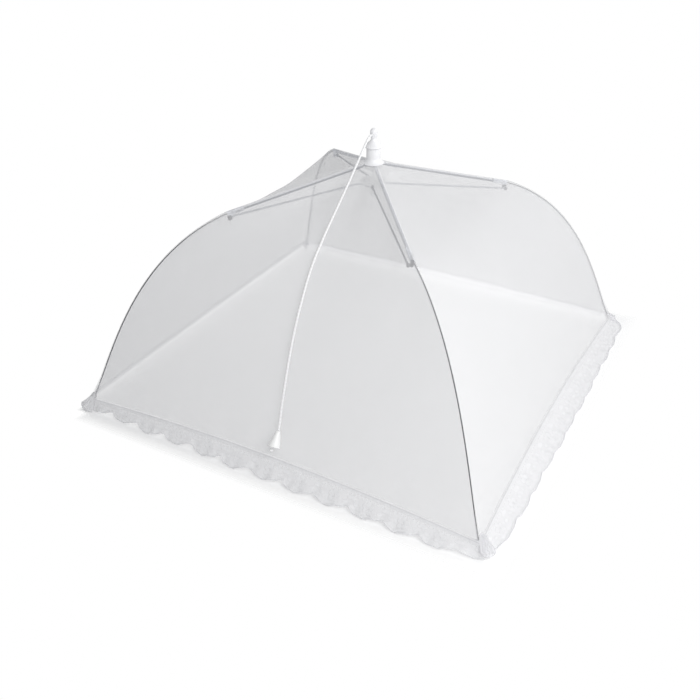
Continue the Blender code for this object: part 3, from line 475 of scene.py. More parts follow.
def swept_piece(name, path, radius, sides=16, across=(1, 0, 0)):
    """A round bar: each ring lies square to the path, its first spoke square to the across direction.

    The ends are closed by rings that shrink to a point.
    """
    path = np.asarray(path, float)
    way = unit(np.gradient(path, axis=0))
    spoke = unit(np.cross(way, np.asarray(across, float)))
    other = np.cross(way, spoke)
    width = np.broadcast_to(np.asarray(radius, float), len(path)).copy()
    path, spoke, other = (np.concatenate([a[:1], a, a[-1:]]) for a in (path, spoke, other))
    width = np.concatenate([[0], width, [0]])
    angle = np.arange(sides) * math.tau / sides
    ring = spoke[:, None] * np.cos(angle)[None, :, None] + other[:, None] * np.sin(angle)[None, :, None]
    places = path[:, None] + ring * width[:, None, None]
    maps = {"surface": paired(np.linspace(0, 1, sides + 1)[None, :], run_along(path)[:, None])}
    return flip_outwards(grid_piece(name, places, maps, around=True))


def cloth_area(places):
    """Area of a grid: half the length of the cross product of its cells' diagonals."""
    one, two = places[1:, 1:] - places[:-1, :-1], places[1:, :-1] - places[:-1, 1:]
    return float(np.linalg.norm(np.cross(one, two), axis=-1).sum() / 2)


def declare_cloth(places):
    """Works out a cloth's surface area and the rectangle that holds it, its longest row and edge, and keeps
    none of it.
    """
    area = cloth_area(places)
    rows, columns = (places[0], places[-1], places[len(places) // 2]), (places[:, 0], places[:, -1])
    across, down = (max(float(run_along(line)[-1]) for line in lines) for lines in (rows, columns))
    down = max(down, area / across)


# Materials


class Value:
    """A number on a shader socket, usable in sums. Each operator adds one Math node."""

    def __init__(self, graph, socket):
        self.graph, self.socket = graph, socket

    def maths(self, operation, *others):
        return self.graph.node("ShaderNodeMath", {"operation": operation}, [self, *others])

    def __add__(self, other):
        return self.maths("ADD", other)

    def __sub__(self, other):
        return self.maths("SUBTRACT", other)

    def __mul__(self, other):
        return self.maths("MULTIPLY", other)

    def __truediv__(self, other):
        return self.maths("DIVIDE", other)

    def __mod__(self, other):
        return self.maths("FLOORED_MODULO", other)

    def __rsub__(self, other):
        return self.graph.node("ShaderNodeMath", {"operation": "SUBTRACT"}, [other, self])

    def __rtruediv__(self, other):
        return self.graph.node("ShaderNodeMath", {"operation": "DIVIDE"}, [other, self])

    __radd__, __rmul__ = __add__, __mul__

    def __abs__(self):
        return self.maths("ABSOLUTE")

    def __pow__(self, other):
        return self.maths("POWER", other)

    def sine(self):
        return self.maths("SINE")

    def larger(self, other):
        return self.maths("MAXIMUM", other)

    def held(self):
        """The number held between 0 and 1."""
        return self.graph.node("ShaderNodeClamp", {}, [self, 0.0, 1.0])

    def below(self, limit, soft):
        """1 under the limit and 0 a soft width over it."""
        return 1 - ((self - limit) / soft).held()


class Graph:
    """A material's node tree with one Principled shader, and the nodes added to it."""

    def __init__(self, name):
        self.material = bpy.data.materials.new(name)
        self.material.use_nodes = True
        self.tree = self.material.node_tree
        self.shader = self.tree.nodes["Principled BSDF"]

    @classmethod
    def around(cls, material):
        """The node tree of a material that is already there."""
        graph = cls.__new__(cls)
        graph.material, graph.tree = material, material.node_tree
        return graph

    def node(self, kind, settings=None, inputs=(), output=0):
        """Adds a node: its settings first, then its values or links by place or name."""
        made = self.tree.nodes.new(kind)
        for name, value in (settings or {}).items():
            setattr(made, name, value)
        pairs = inputs.items() if isinstance(inputs, dict) else enumerate(inputs)
        for key, value in pairs:
            self.join(value, made.inputs[key])
        return Value(self, made.outputs[output])

    def join(self, value, socket):
        if isinstance(value, Value):
            self.tree.links.new(value.socket, socket)
        else:
            socket.default_value = value

    def mix(self, share, first, second):
        """A colour between two, by a share from 0 to 1."""
        colours = [(*c, 1) if isinstance(c, tuple) and len(c) == 3 else c for c in (first, second)]
        return self.node("ShaderNodeMix", {"data_type": "RGBA"}, {0: share, 6: colours[0], 7: colours[1]}, 2)

    def split(self, vector):
        """A vector's three numbers."""
        made = self.node("ShaderNodeSeparateXYZ", {}, [vector])
        return [Value(self, socket) for socket in made.socket.node.outputs]

    def uv(self, name):
        """The two numbers of a UV map."""
        return self.split(self.node("ShaderNodeUVMap", {"uv_map": name}))[:2]

    def axes(self):
        """The three Object coordinates."""
        return self.split(self.node("ShaderNodeTexCoord", output="Object"))

    def place(self, scale=(1, 1, 1)):
        """Object coordinates, stretched by a scale along each axis."""
        where = self.node("ShaderNodeTexCoord", output="Object")
        return self.node("ShaderNodeMapping", {}, {"Vector": where, "Scale": scale})

    def noise(self, place, scale, detail=3.0, roughness=0.5):
        sockets = {"Vector": place, "Scale": scale, "Detail": detail, "Roughness": roughness}
        return self.node("ShaderNodeTexNoise", {}, sockets)

    def bump(self, height, distance, strength=1.0):
        return self.node("ShaderNodeBump", {}, {"Height": height, "Distance": distance, "Strength": strength})

    def let_light_through(self, share, colour):
        """Thin cloth: some of what the cloth covers passes light on instead of sending it back."""
        through = self.node("ShaderNodeBsdfTranslucent", {}, {"Color": (*colour, 1)})
        both = self.node("ShaderNodeMixShader", {}, [share, Value(self, self.shader.outputs[0]), through])
        self.join(both, self.tree.nodes["Material Output"].inputs["Surface"])

    def finished(self, **sockets):
        """Sets or links the Principled shader's sockets and returns the material."""
        for name, value in sockets.items():
            value = (*value, 1) if isinstance(value, tuple) and len(value) == 3 else value
            self.join(value, self.shader.inputs[name.replace("_", " ")])
        return self.material

    def hexagons(self, u, v, pitch):
        """Distance from the nearest cell edge, in cells, of a honeycomb with that pitch."""
        x, y = u / pitch, v / (pitch * math.sqrt(3))
        ax, ay = x % 1.0 - 0.5, (y % 1.0 - 0.5) * math.sqrt(3)
        bx, by = (x + 0.5) % 1.0 - 0.5, ((y + 0.5) % 1.0 - 0.5) * math.sqrt(3)
        near = (ax * ax + ay * ay).maths("LESS_THAN", bx * bx + by * by)
        gx, gy = abs(bx + (ax - bx) * near), abs(by + (ay - by) * near)
        return 0.5 - gx.larger(gx * 0.5 + gy * (math.sqrt(3) / 2))


def net_material(sizes, colours, name="net_tulle", least=0.0):
    """Knitted tulle: a honeycomb of threads, doubled at the hem and in the stitched channel over each rib.

    name is the material's, and least is the least that it covers anywhere.
    """
    g = Graph(name)
    u, v = g.uv("cloth")
    rib, hem = g.uv("edges")
    place = g.place()
    stray = g.noise(place, 420.0, 2.0) - 0.5
    edge = g.hexagons(u + stray * 0.00010, v + stray * 0.00010, sizes.net_pitch)
    thread = edge.below(sizes.net_thread_share, 0.08)
    cloud = g.noise(place, 18.0, 4.0)
    ply = sizes.net_hole_alpha + (sizes.net_thread_alpha - sizes.net_hole_alpha) * thread
    lower = ((v - CHANNEL_LENGTH) / 0.004).held()
    stitch = (v * (2 * math.pi / 0.0026)).sine() * 0.5 + 0.5
    seam = rib.below(sizes.seam_width / 2, 0.0005)
    slit = rib.below(0.0011, 0.0003) * (0.75 + 0.25 * stitch) * lower
    fold = hem.below(sizes.hem_width, 0.0004)
    row = abs(hem - sizes.hem_width).below(0.0002, 0.0002)
    alpha = (ply * (0.96 + 0.08 * cloud)).larger(seam * 0.62).larger(fold * 0.74).larger(least)
    white = tuple(colours.net)
    tone = g.mix(thread * (0.85 + 0.3 * stray), tuple(c * 0.965 for c in white), white)
    tone = g.mix(fold.larger(seam * 0.25), tone, tuple(colours.hem))
    tone = g.mix(row * 0.5 * stitch, tone, tuple(c * 0.8 for c in white))
    relief = thread * (1 - seam) + seam * (0.6 + 0.4 * stitch) + row * stitch
    g.let_light_through(fold * 0.6, tuple(colours.hem))
    return g.finished(
        Base_Color=tone,
        Roughness=0.66 + 0.12 * cloud,
        Alpha=alpha * (1 - slit * 0.8),
        Normal=g.bump(relief, 0.00010, 0.4),
        Sheen_Weight=0.2,
        Specular_IOR_Level=0.25,
    )


def lace_material(sizes, colours, name, through, seam):
    """Machine lace: a dense ground with a flower and leaves in each scallop, eyelets and a corded edge.

    through is how much light it passes on, and seam how dark the painted shade line along its top is.
    """
    g = Graph(name)
    u, v = g.uv("cloth")
    edge, pitch = g.uv("edges")
    place = g.place()
    stray = g.noise(place, 300.0, 2.0) - 0.5
    # flower in the scallop's middle, its petals a little different from one to the next
    x = u % 1.0 - 0.5
    sx, fy = x * pitch, v - 0.0100
    far = (sx * sx + fy * fy) ** 0.5 + stray * 0.0008
    angle = sx.maths("ARCTAN2", fy)
    petals = abs((angle * 2.5).sine())
    flower = (far - 0.0030 - 0.0024 * petals).below(0.0, 0.0004) * (1 - far.below(0.0009, 0.0003))
    veins = abs((angle * 12.5).sine()) * flower
    # leaves between the flowers
    lx = (u + 0.5) % 1.0 - 0.5
    leaf_x, leaf_y = lx * pitch, v - 0.0076
    leaf = leaf_x * leaf_x * 0.22 + leaf_y * leaf_y * 1.2 + leaf_x * leaf_y * 0.8 * stray
    leaf = (leaf**0.5).below(0.0018, 0.0004)
    bud_x, bud_y = abs(lx * pitch) - 0.0052, v - 0.0118
    bud = ((bud_x * bud_x * 0.7 + bud_y * bud_y * 1.6) ** 0.5).below(0.0016, 0.0004)
    # eyelets along the heading
    ex = ((u * 9.0) % 1.0 - 0.5) * (pitch / 9.0)
    ey = v - 0.0046
    eyelet_far = (ex * ex + ey * ey) ** 0.5
    ring = eyelet_far.below(0.0011, 0.0003)
    hole = eyelet_far.below(0.0004, 0.0002) * 0.5
    border = edge.below(0.0016, 0.0004)
    # painted shade: a thin darker line along the top of the heading
    line = v.below(0.0007, 0.0003) * seam
    ground = g.hexagons(u * pitch + stray * 0.0001, v + stray * 0.0001, sizes.lace_ground_pitch)
    ground = ground.below(0.18, 0.08)
    heading = v.below(LACE_HEADING, 0.0004)
    dense = flower.larger(leaf).larger(bud).larger(ring * 0.7).larger(border).larger(heading) * (1 - hole)
    cloud = g.noise(place, 46.0, 3.0)
    fuzz = g.noise(place, 900.0, 3.0, 0.7)
    alpha = ((sizes.lace_ground_alpha - 0.12 + 0.20 * ground) * (0.92 + 0.16 * cloud)).larger(dense * 0.97)
    relief = dense * 0.6 + ground * 0.15 + veins * 0.3 + fuzz * 0.25
    white = tuple(colours.lace)
    g.let_light_through(alpha * through, white)
    colour = g.mix((dense * (0.5 + 0.6 * cloud)).held(), tuple(c * 0.96 for c in white), white)
    shade = (hole * 0.4 + (1 - fuzz) * 0.06).larger(line)
    return g.finished(
        Base_Color=g.mix(shade, colour, tuple(c * 0.62 for c in white)),
        Roughness=0.76 + 0.12 * cloud,
        Alpha=(alpha * (1 - hole * 0.4)).held(),
        Normal=g.bump(relief, 0.00045, 0.75),
        Sheen_Weight=0.25,
        Specular_IOR_Level=0.25,
    )


def plastic_material(name, colour, roughness, through=0.0):
    """Moulded plastic: a faint orange-peel skin, slow colour drift and dull patches from handling."""
    g = Graph(name)
    place = g.place()
    peel = g.noise(place, 900.0, 2.0)
    drift = g.noise(place, 70.0, 4.0, 0.6)
    scuff = (g.noise(g.place((1, 1, 0.4)), 240.0, 5.0, 0.7) - 0.56).maths("MULTIPLY", 6.0).held()
    tone = g.mix(drift, tuple(c * 0.95 for c in colour), tuple(min(1.0, c * 1.02) for c in colour))
    if through:
        g.let_light_through(through, colour)
    return g.finished(
        Base_Color=g.mix(scuff * 0.35, tone, tuple(c * 0.90 for c in colour)),
        Roughness=roughness + 0.18 * scuff + 0.08 * (drift - 0.5),
        Normal=g.bump(peel, PEEL_DEPTH, 0.5),
        Coat_Weight=0.12,
        Coat_Roughness=0.3,
        IOR=1.5,
    )


def steel_material(name, colour, roughness, stain, metal=1.0, dark=None):
    """Plated steel: a fine grain, dull stains and small bright rubs, and painted shade: a darker colour where
    the given mask says.
    """
    g = Graph(name)
    lines = g.noise(g.place(), 700.0, 4.0, 0.6)
    patch = g.noise(g.place(), 150.0, 4.0, 0.65)
    dull = ((patch - 0.50) * 7.0).held()
    worn = ((g.noise(g.place(), 420.0, 3.0) - 0.60) * 9.0).held()
    tone = g.mix(dull * stain, tuple(colour), tuple(c * 0.38 for c in colour))
    tone = g.mix(worn * 0.4, tone, tuple(min(1.0, c * 1.5) for c in colour))
    # painted shade: where the mask says, the colour turns darker
    if dark:
        tone = g.mix(dark[0](g), tone, dark[1])
    return g.finished(
        Base_Color=tone,
        Metallic=metal,
        Specular_IOR_Level=0.3,
        Roughness=roughness + 0.22 * dull - 0.08 * worn + 0.1 * (lines - 0.5),
        Normal=g.bump(lines + dull * 0.4, PEEL_DEPTH, 0.6),
    )


def rib_height(g):
    """Distance out from the axis and height, in metres, of a place on the object."""
    x, y, z = g.axes()
    return (x * x + y * y) ** 0.5, z


def shaded_channel_walls(g):
    """1 on the channel's side walls and 0 on its top: its height square to the channel's centre line. The
    walls get painted shade.
    """
    r, z = rib_height(g)
    fall = (CROWN_HINGE[1] - BRACKET[1]) / (BRACKET[0] - CROWN_HINGE[0])
    over = z - CROWN_HINGE[1] + (r - CROWN_HINGE[0]) * fall
    return over.below(0.0006, 0.0003)


def shaded_near_rivet(g):
    """1 near the rivet under a bracket and 0 on the sleeve: there the bracket gets painted shade."""
    r, z = rib_height(g)
    out, up = r - (BRACKET[0] - 0.0015), z - (BRACKET[1] - 0.0052)
    return ((out * out + up * up) ** 0.5).below(0.0036, 0.0008)


def cord_material(colours):
    """Braided cord: two sets of strands that wind round opposite ways, with a loose fuzz."""
    g = Graph("cord_braid")
    around, along = g.uv("surface")
    place = g.place()
    one = abs(((around * 4.0 + along / 0.0034) * math.pi).sine())
    two = abs(((around * 4.0 - along / 0.0034) * math.pi).sine())
    over = (((around * 8.0) % 2.0) - 1.0).maths("GREATER_THAN", 0.0)
    strand = one * over + two * (1 - over)
    fuzz = g.noise(place, 2400.0, 3.0, 0.7)
    # painted shade: the gaps between the strands take a darker colour
    strand_gap_shade = 1 - strand
    return g.finished(
        Base_Color=g.mix(strand_gap_shade * 0.55, tuple(colours.cord), tuple(c * 0.72 for c in colours.cord)),
        Roughness=0.68 + 0.16 * fuzz,
        Normal=g.bump(strand + fuzz * 0.3, 0.00022, 0.8),
        Sheen_Weight=0.3,
    )


# Settings


def size(label, note, default, low=0.0, high=1.0):
    return bpy.props.FloatProperty(
        name=label, description=note, default=default, min=low, max=high, precision=5, unit="LENGTH",
        subtype="DISTANCE",
    )


def share(label, note, default):
    return bpy.props.FloatProperty(
        name=label, description=note, default=default, min=0.0, max=1.0, subtype="FACTOR"
    )


def colour(label, note, default):
    return bpy.props.FloatVectorProperty(
        name=label, description=note, default=default, size=3, min=0.0, max=1.0, subtype="COLOR"
    )


class CoverSizes(bpy.types.PropertyGroup):
    """Sizes of the cover's cloth, wires and cord that a user would change."""

    net_pitch: size("Net pitch", "Width of one cell of the net", 0.00095)
    net_thread_share: share("Net thread", "Half a thread's width as a share of a cell", 0.15)
    net_thread_alpha: share("Thread cover", "How much a thread covers", 0.66)
    net_hole_alpha: share("Hole cover", "How much the fuzz in a hole covers", 0.42)
    seam_width: size("Seam width", "Width of the stitched channel over each rib", 0.0034)
    hem_width: size("Hem width", "Width of the doubled hem", 0.0040)
    wrinkle_depth: size("Wrinkle depth", "Height of the net's small waves", 0.0004)
    lace_ground_pitch: size("Lace ground pitch", "Width of one cell of the lace's ground", 0.0009)
    lace_ground_alpha: share("Lace ground cover", "How much the lace's ground covers", 0.86)
    lace_ruffle: size("Lace ruffle", "Height of the lace's ruffles at its edge", 0.0026)
    cord_diameter: size("Cord diameter", "Thickness of the pull cord", 0.0020)


class CoverColours(bpy.types.PropertyGroup):
    """Colours of the cover's finishes."""

    net: colour("Net", "Thread of the net", (0.78, 0.78, 0.79))
    hem: colour("Hem", "Doubled net of the hem and the ribs' seams", (0.92, 0.92, 0.93))
    lace: colour("Lace", "Thread of the lace", (0.88, 0.88, 0.89))
    plastic: colour("Plastic", "Crown, runner and foot caps", (0.92, 0.92, 0.935))
    toggle: colour("Toggle", "Toggle on the cord", (0.93, 0.93, 0.92))
    steel: colour("Rib steel", "Plated channels and stretchers", (0.78, 0.80, 0.85))
    # near-black, a painted reflection: it stands in for the dark surroundings plated steel would mirror
    reflection_dark_steel: colour("Wire steel", "Rivets and sprung wires", (0.035, 0.038, 0.045))
    cord: colour("Cord", "Pull cord", (0.95, 0.95, 0.955))
    floor: colour("Floor", "Table top", (0.97, 0.97, 0.97))


def settings():
    scene = bpy.context.scene
    return scene.cover_sizes, scene.cover_colours


def paint(obj, material):
    obj.data.materials.clear()
    obj.data.materials.append(material)
    return obj


def paint_node(name, material):
    """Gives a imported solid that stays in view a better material."""
    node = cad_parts[name]
    if not node.material_slots:
        node.data.materials.append(material)
    for slot in node.material_slots:
        slot.material = material


def corner_nodes(kind):
    return [f"{kind}_{rib}" for rib in RIBS]


def stands_for(piece, node, body=None):
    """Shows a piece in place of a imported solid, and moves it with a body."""
    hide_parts(node)
    if body:
        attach(piece, body)
    return piece


# Operators


class COVER_OT_cord(bpy.types.Operator):
    """Make the pull cord, the cord inside the crown, the toggle and the tail knot"""

    bl_idname = "cover.cord"
    bl_label = "Pull Cord"

    def execute(self, context):
        sizes, colours = settings()
        braid = cord_material(colours)
        path = smooth_path(CORD_ROUTE, CORD_STEP)
        cord = paint(swept_piece("pull_cord_braid", path, sizes.cord_diameter / 2, 16), braid)
        stands_for(cord, "pull_cord", "cord")
        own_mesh(cord)
        toggle = self.toggle(colours)
        knot = self.knot("tail_knot_braid", TAIL_KNOT, TAIL_KNOT_RADIUS, braid, "tail_knot", "toggle")
        self.core(sizes, braid)
        stop = (0, 0, RUNNER_FOOT - STOP_KNOT_DROP)
        self.knot("stop_knot_braid", stop, STOP_KNOT_RADIUS, braid, "stop_knot", "runner")
        return {"FINISHED"}

    @staticmethod
    def core(sizes, braid):
        """Straight cord from the runner up into the knob, then a quarter turn out of its side."""
        turn, bend, top = CORE_AZIMUTH, CORE_BEND, CORD_EXIT[2]
        sweep = np.linspace(0, math.pi / 2, 12)
        over = np.stack([bend * (1 - np.cos(sweep)), top - bend + bend * np.sin(sweep)], -1)
        rise = np.stack([np.zeros(80), np.linspace(RUNNER_FOOT - 0.0004, top - bend, 80)], -1)[:-1]
        line = np.concatenate([rise, over, [[CORE_END, top]]])
        path = turned(turn, line[:, 0], 0, line[:, 1])
        radius, across = sizes.cord_diameter / 2 - 0.00002, (math.sin(turn), -math.cos(turn), 0)
        core = paint(swept_piece("cord_core_braid", path, radius, 12, across), braid)
        stands_for(core, "cord_core")
        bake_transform(core)

    @staticmethod
    def toggle(colours):
        """A hollow moulded bell: its radius grows with the share of its length to the power 0.9.

        A bell curve of that share takes a groove out of it.
        """
        top, bottom = Vector(TOGGLE_TOP), Vector(TOGGLE_BOTTOM)
        long = (bottom - top).length
        x = np.linspace(0, 1, 28)
        groove = TOGGLE_GROOVE * np.exp(-(((x - 0.86) / 0.05) ** 2))
        outer = np.stack([TOGGLE_NECK + TOGGLE_SWELL * x**0.9 - groove, long * x], -1)
        inner = np.stack([np.maximum(outer[::-1, 0] - TOGGLE_WALL, TOGGLE_BORE), outer[::-1, 1]], -1)[1:-6]
        outline = np.concatenate([[[0, -0.0002]], outer, inner, [[0, inner[-1, 1]]]])
        place = Matrix.Translation(top) @ (bottom - top).to_track_quat("Z", "Y").to_matrix().to_4x4()
        made = turned_piece("cord_toggle_bell", soft_outline(outline, 0.0003, 4), 48, place)
        paint(made, plastic_material("toggle_plastic", tuple(colours.toggle), 0.42))
        return stands_for(made, "cord_toggle", "toggle")

    @staticmethod
    def knot(name, centre, radius, braid, node, body):
        """An overhand knot: a tube along the trefoil (sin t + 2 sin 2t, cos t - 2 cos 2t, -1.1 sin 3t)."""
        t = np.linspace(0, math.tau, 97)[:-1]
        x, y = np.sin(t) + 2 * np.sin(2 * t), np.cos(t) - 2 * np.cos(2 * t)
        line = np.stack([x, y, -1.1 * np.sin(3 * t)], -1) * (radius * 0.42 / 2.2)
        way = unit(np.roll(line, -1, 0) - np.roll(line, 1, 0))
        spoke = unit(np.cross(way, [0, 0, 1.0]))
        other = np.cross(way, spoke)
        angle = np.arange(12) * math.tau / 12
        ring = spoke[:, None] * np.cos(angle)[None, :, None] + other[:, None] * np.sin(angle)[None, :, None]
        places = line[:, None] + ring * radius * 0.46 + np.array(centre)
        places = np.concatenate([places, places[:1]])
        run = np.linspace(0, 0.03, len(places))
        maps = {"surface": paired(np.linspace(0, 1, 13)[None, :], run[:, None])}
        made = paint(flip_outwards(grid_piece(name, places, maps, around=True)), braid)
        return stands_for(made, node, body)


class COVER_OT_net(bpy.types.Operator):
    """Make the net canopy in half sides beside its ribs"""

    bl_idname = "cover.net"
    bl_label = "Net Canopy"

    columns: bpy.props.IntProperty(name="Columns", description="Cells across half a side", default=40, min=4)

    def execute(self, context):
        sizes, colours = settings()
        tulle = net_material(sizes, colours)
        tape = net_material(sizes, colours, "casing_tape", 0.88)
        depth = sizes.wrinkle_depth
        for rib in RIBS:
            for sign, hand in ((1, "left"), (-1, "right")):
                self.upper(rib, sign, hand, depth, tulle)
                self.lower(rib, sign, hand, depth, tulle)
            self.leaf(rib, depth, tulle, [self.casing(rib, tape)] if rib in CASED_RIBS else [])
        return {"FINISHED"}

    @staticmethod
    def parts(rib, sign, run, turn, depth):
        """A half side's places, cloth coordinates, distances from the rib's seam and the hem, and normals."""
        places, uv = panel(rib, sign, run, turn, depth)
        beside = np.interp(run, RUN, NET_LINE[:, 0]) / math.sqrt(2) - np.abs(uv[..., 0])
        edges = np.stack([beside * SEAM_LET_OUT.get(rib, 1.0), hem_run(np.abs(turn)) - run], -1)
        return places, uv, edges, panel_normals(rib, sign, run, turn, depth)

    @staticmethod
    def made(name, rib, body, node, parts, tulle, sewn_on=()):
        places, uv, edges, normals = parts
        obj = paint(face_up(grid_piece(name, places, {"cloth": uv, "edges": edges})), tulle)
        stands_for(shade_with(obj, normals), node, body)
        declare_cloth(places)
        return obj

    def upper(self, rib, sign, hand, depth, tulle):
        rows = np.linspace(NET_FIRST_RUN - NET_TUCK, CHANNEL_LENGTH, 30)[:, None]
        turn = np.linspace(0, 1, self.columns + 1)[None, :]
        parts = self.parts(rib, sign, rows, turn, depth)
        obj = self.made(f"net_top_{rib}_{hand}", rib, "rib_" + rib, "net_upper_" + rib, parts, tulle)
        anchor, way = fold_axis(rib, sign, NET_FIRST_RUN, CHANNEL_LENGTH)
        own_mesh(obj)

    @staticmethod
    def leaf_turn(rib, sign, rows):
        """How far across the rib's bulge goes: the turn at which the side crosses the gathering plane."""
        anchor, way = fold_axis(rib, sign, CHANNEL_LENGTH, RUN[-1])
        turn = np.linspace(0, 1, 401)[None, :]
        places, _ = panel(rib, sign, rows[:, None], turn, 0.0)
        side = (places - anchor) @ way
        found = (side > 0).argmax(axis=1)
        index = np.arange(len(rows))
        before = np.maximum(found - 1, 0)
        low, high = side[index, before], side[index, found]
        part = np.where(found > 0, -low / np.maximum(high - low, 1e-12), 0)
        return np.clip(np.where(found > 0, turn[0, before] + part / 400, 0), 0, 0.9)

    def lower_rows(self):
        return np.linspace(0, 1, 64)

    def run_at(self, share, turn):
        return CHANNEL_LENGTH + (hem_run(np.abs(turn)) - CHANNEL_LENGTH) * share

    def lower(self, rib, sign, hand, depth, tulle):
        shares = self.lower_rows()
        first = self.leaf_turn(rib, sign, CHANNEL_LENGTH + (RUN[-1] - CHANNEL_LENGTH) * shares)[:, None]
        turn = first + (1 - first) * np.linspace(0, 1, self.columns + 1)[None, :]
        parts = self.parts(rib, sign, self.run_at(shares[:, None], turn), turn, depth)
        obj = self.made(f"net_side_{rib}_{hand}", rib, "spring_" + rib, "net_lower_" + rib, parts, tulle)
        anchor, way = fold_axis(rib, sign, CHANNEL_LENGTH, RUN[-1])
        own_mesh(obj)

    def leaf(self, rib, depth, tulle, sewn_on):
        """The strip of net over the bowed wire."""
        shares = self.lower_rows()
        halves = []
        for sign in (1, -1):
            wide = self.leaf_turn(rib, sign, CHANNEL_LENGTH + (RUN[-1] - CHANNEL_LENGTH) * shares)[:, None]
            turn = wide * np.linspace(0, 1, 9)[None, :]
            halves.append(self.parts(rib, sign, self.run_at(shares[:, None], turn), turn, depth))
        join = [np.concatenate([left[:, :0:-1], right], axis=1) for left, right in zip(*halves)]
        self.made("net_rib_" + rib, rib, "spring_" + rib, "net_lower_" + rib, join, tulle, sewn_on)

    def casing(self, rib, tape):
        """The tape sewn round a wire's inner side: an arc, R (cos t inwards + sin t sideways) off it."""
        path = wire_path(rib)[CASING_ROWS]
        inward = unit((wire_path(rib, rise=0.0) - wire_path(rib, rise=0.001))[CASING_ROWS])
        side = unit(np.cross(np.gradient(path, axis=0), inward))
        t = np.linspace(-CASING_TURN, CASING_TURN, 15)[None, :, None]
        normals = np.cos(t) * inward[:, None] + np.sin(t) * side[:, None]
        places = path[:, None] + CASING_RADIUS * normals
        run = run_along(path)[:, None]
        uv, edges = paired(t[..., 0] * CASING_RADIUS, run), paired(0.01 + 0 * run, 0.03 + 0 * t[..., 0])
        maps = {"cloth": uv, "edges": edges}
        obj = paint(grid_piece("net_casing_" + rib, places, maps), tape)
        return stands_for(obj, "net_lower_" + rib, "spring_" + rib)


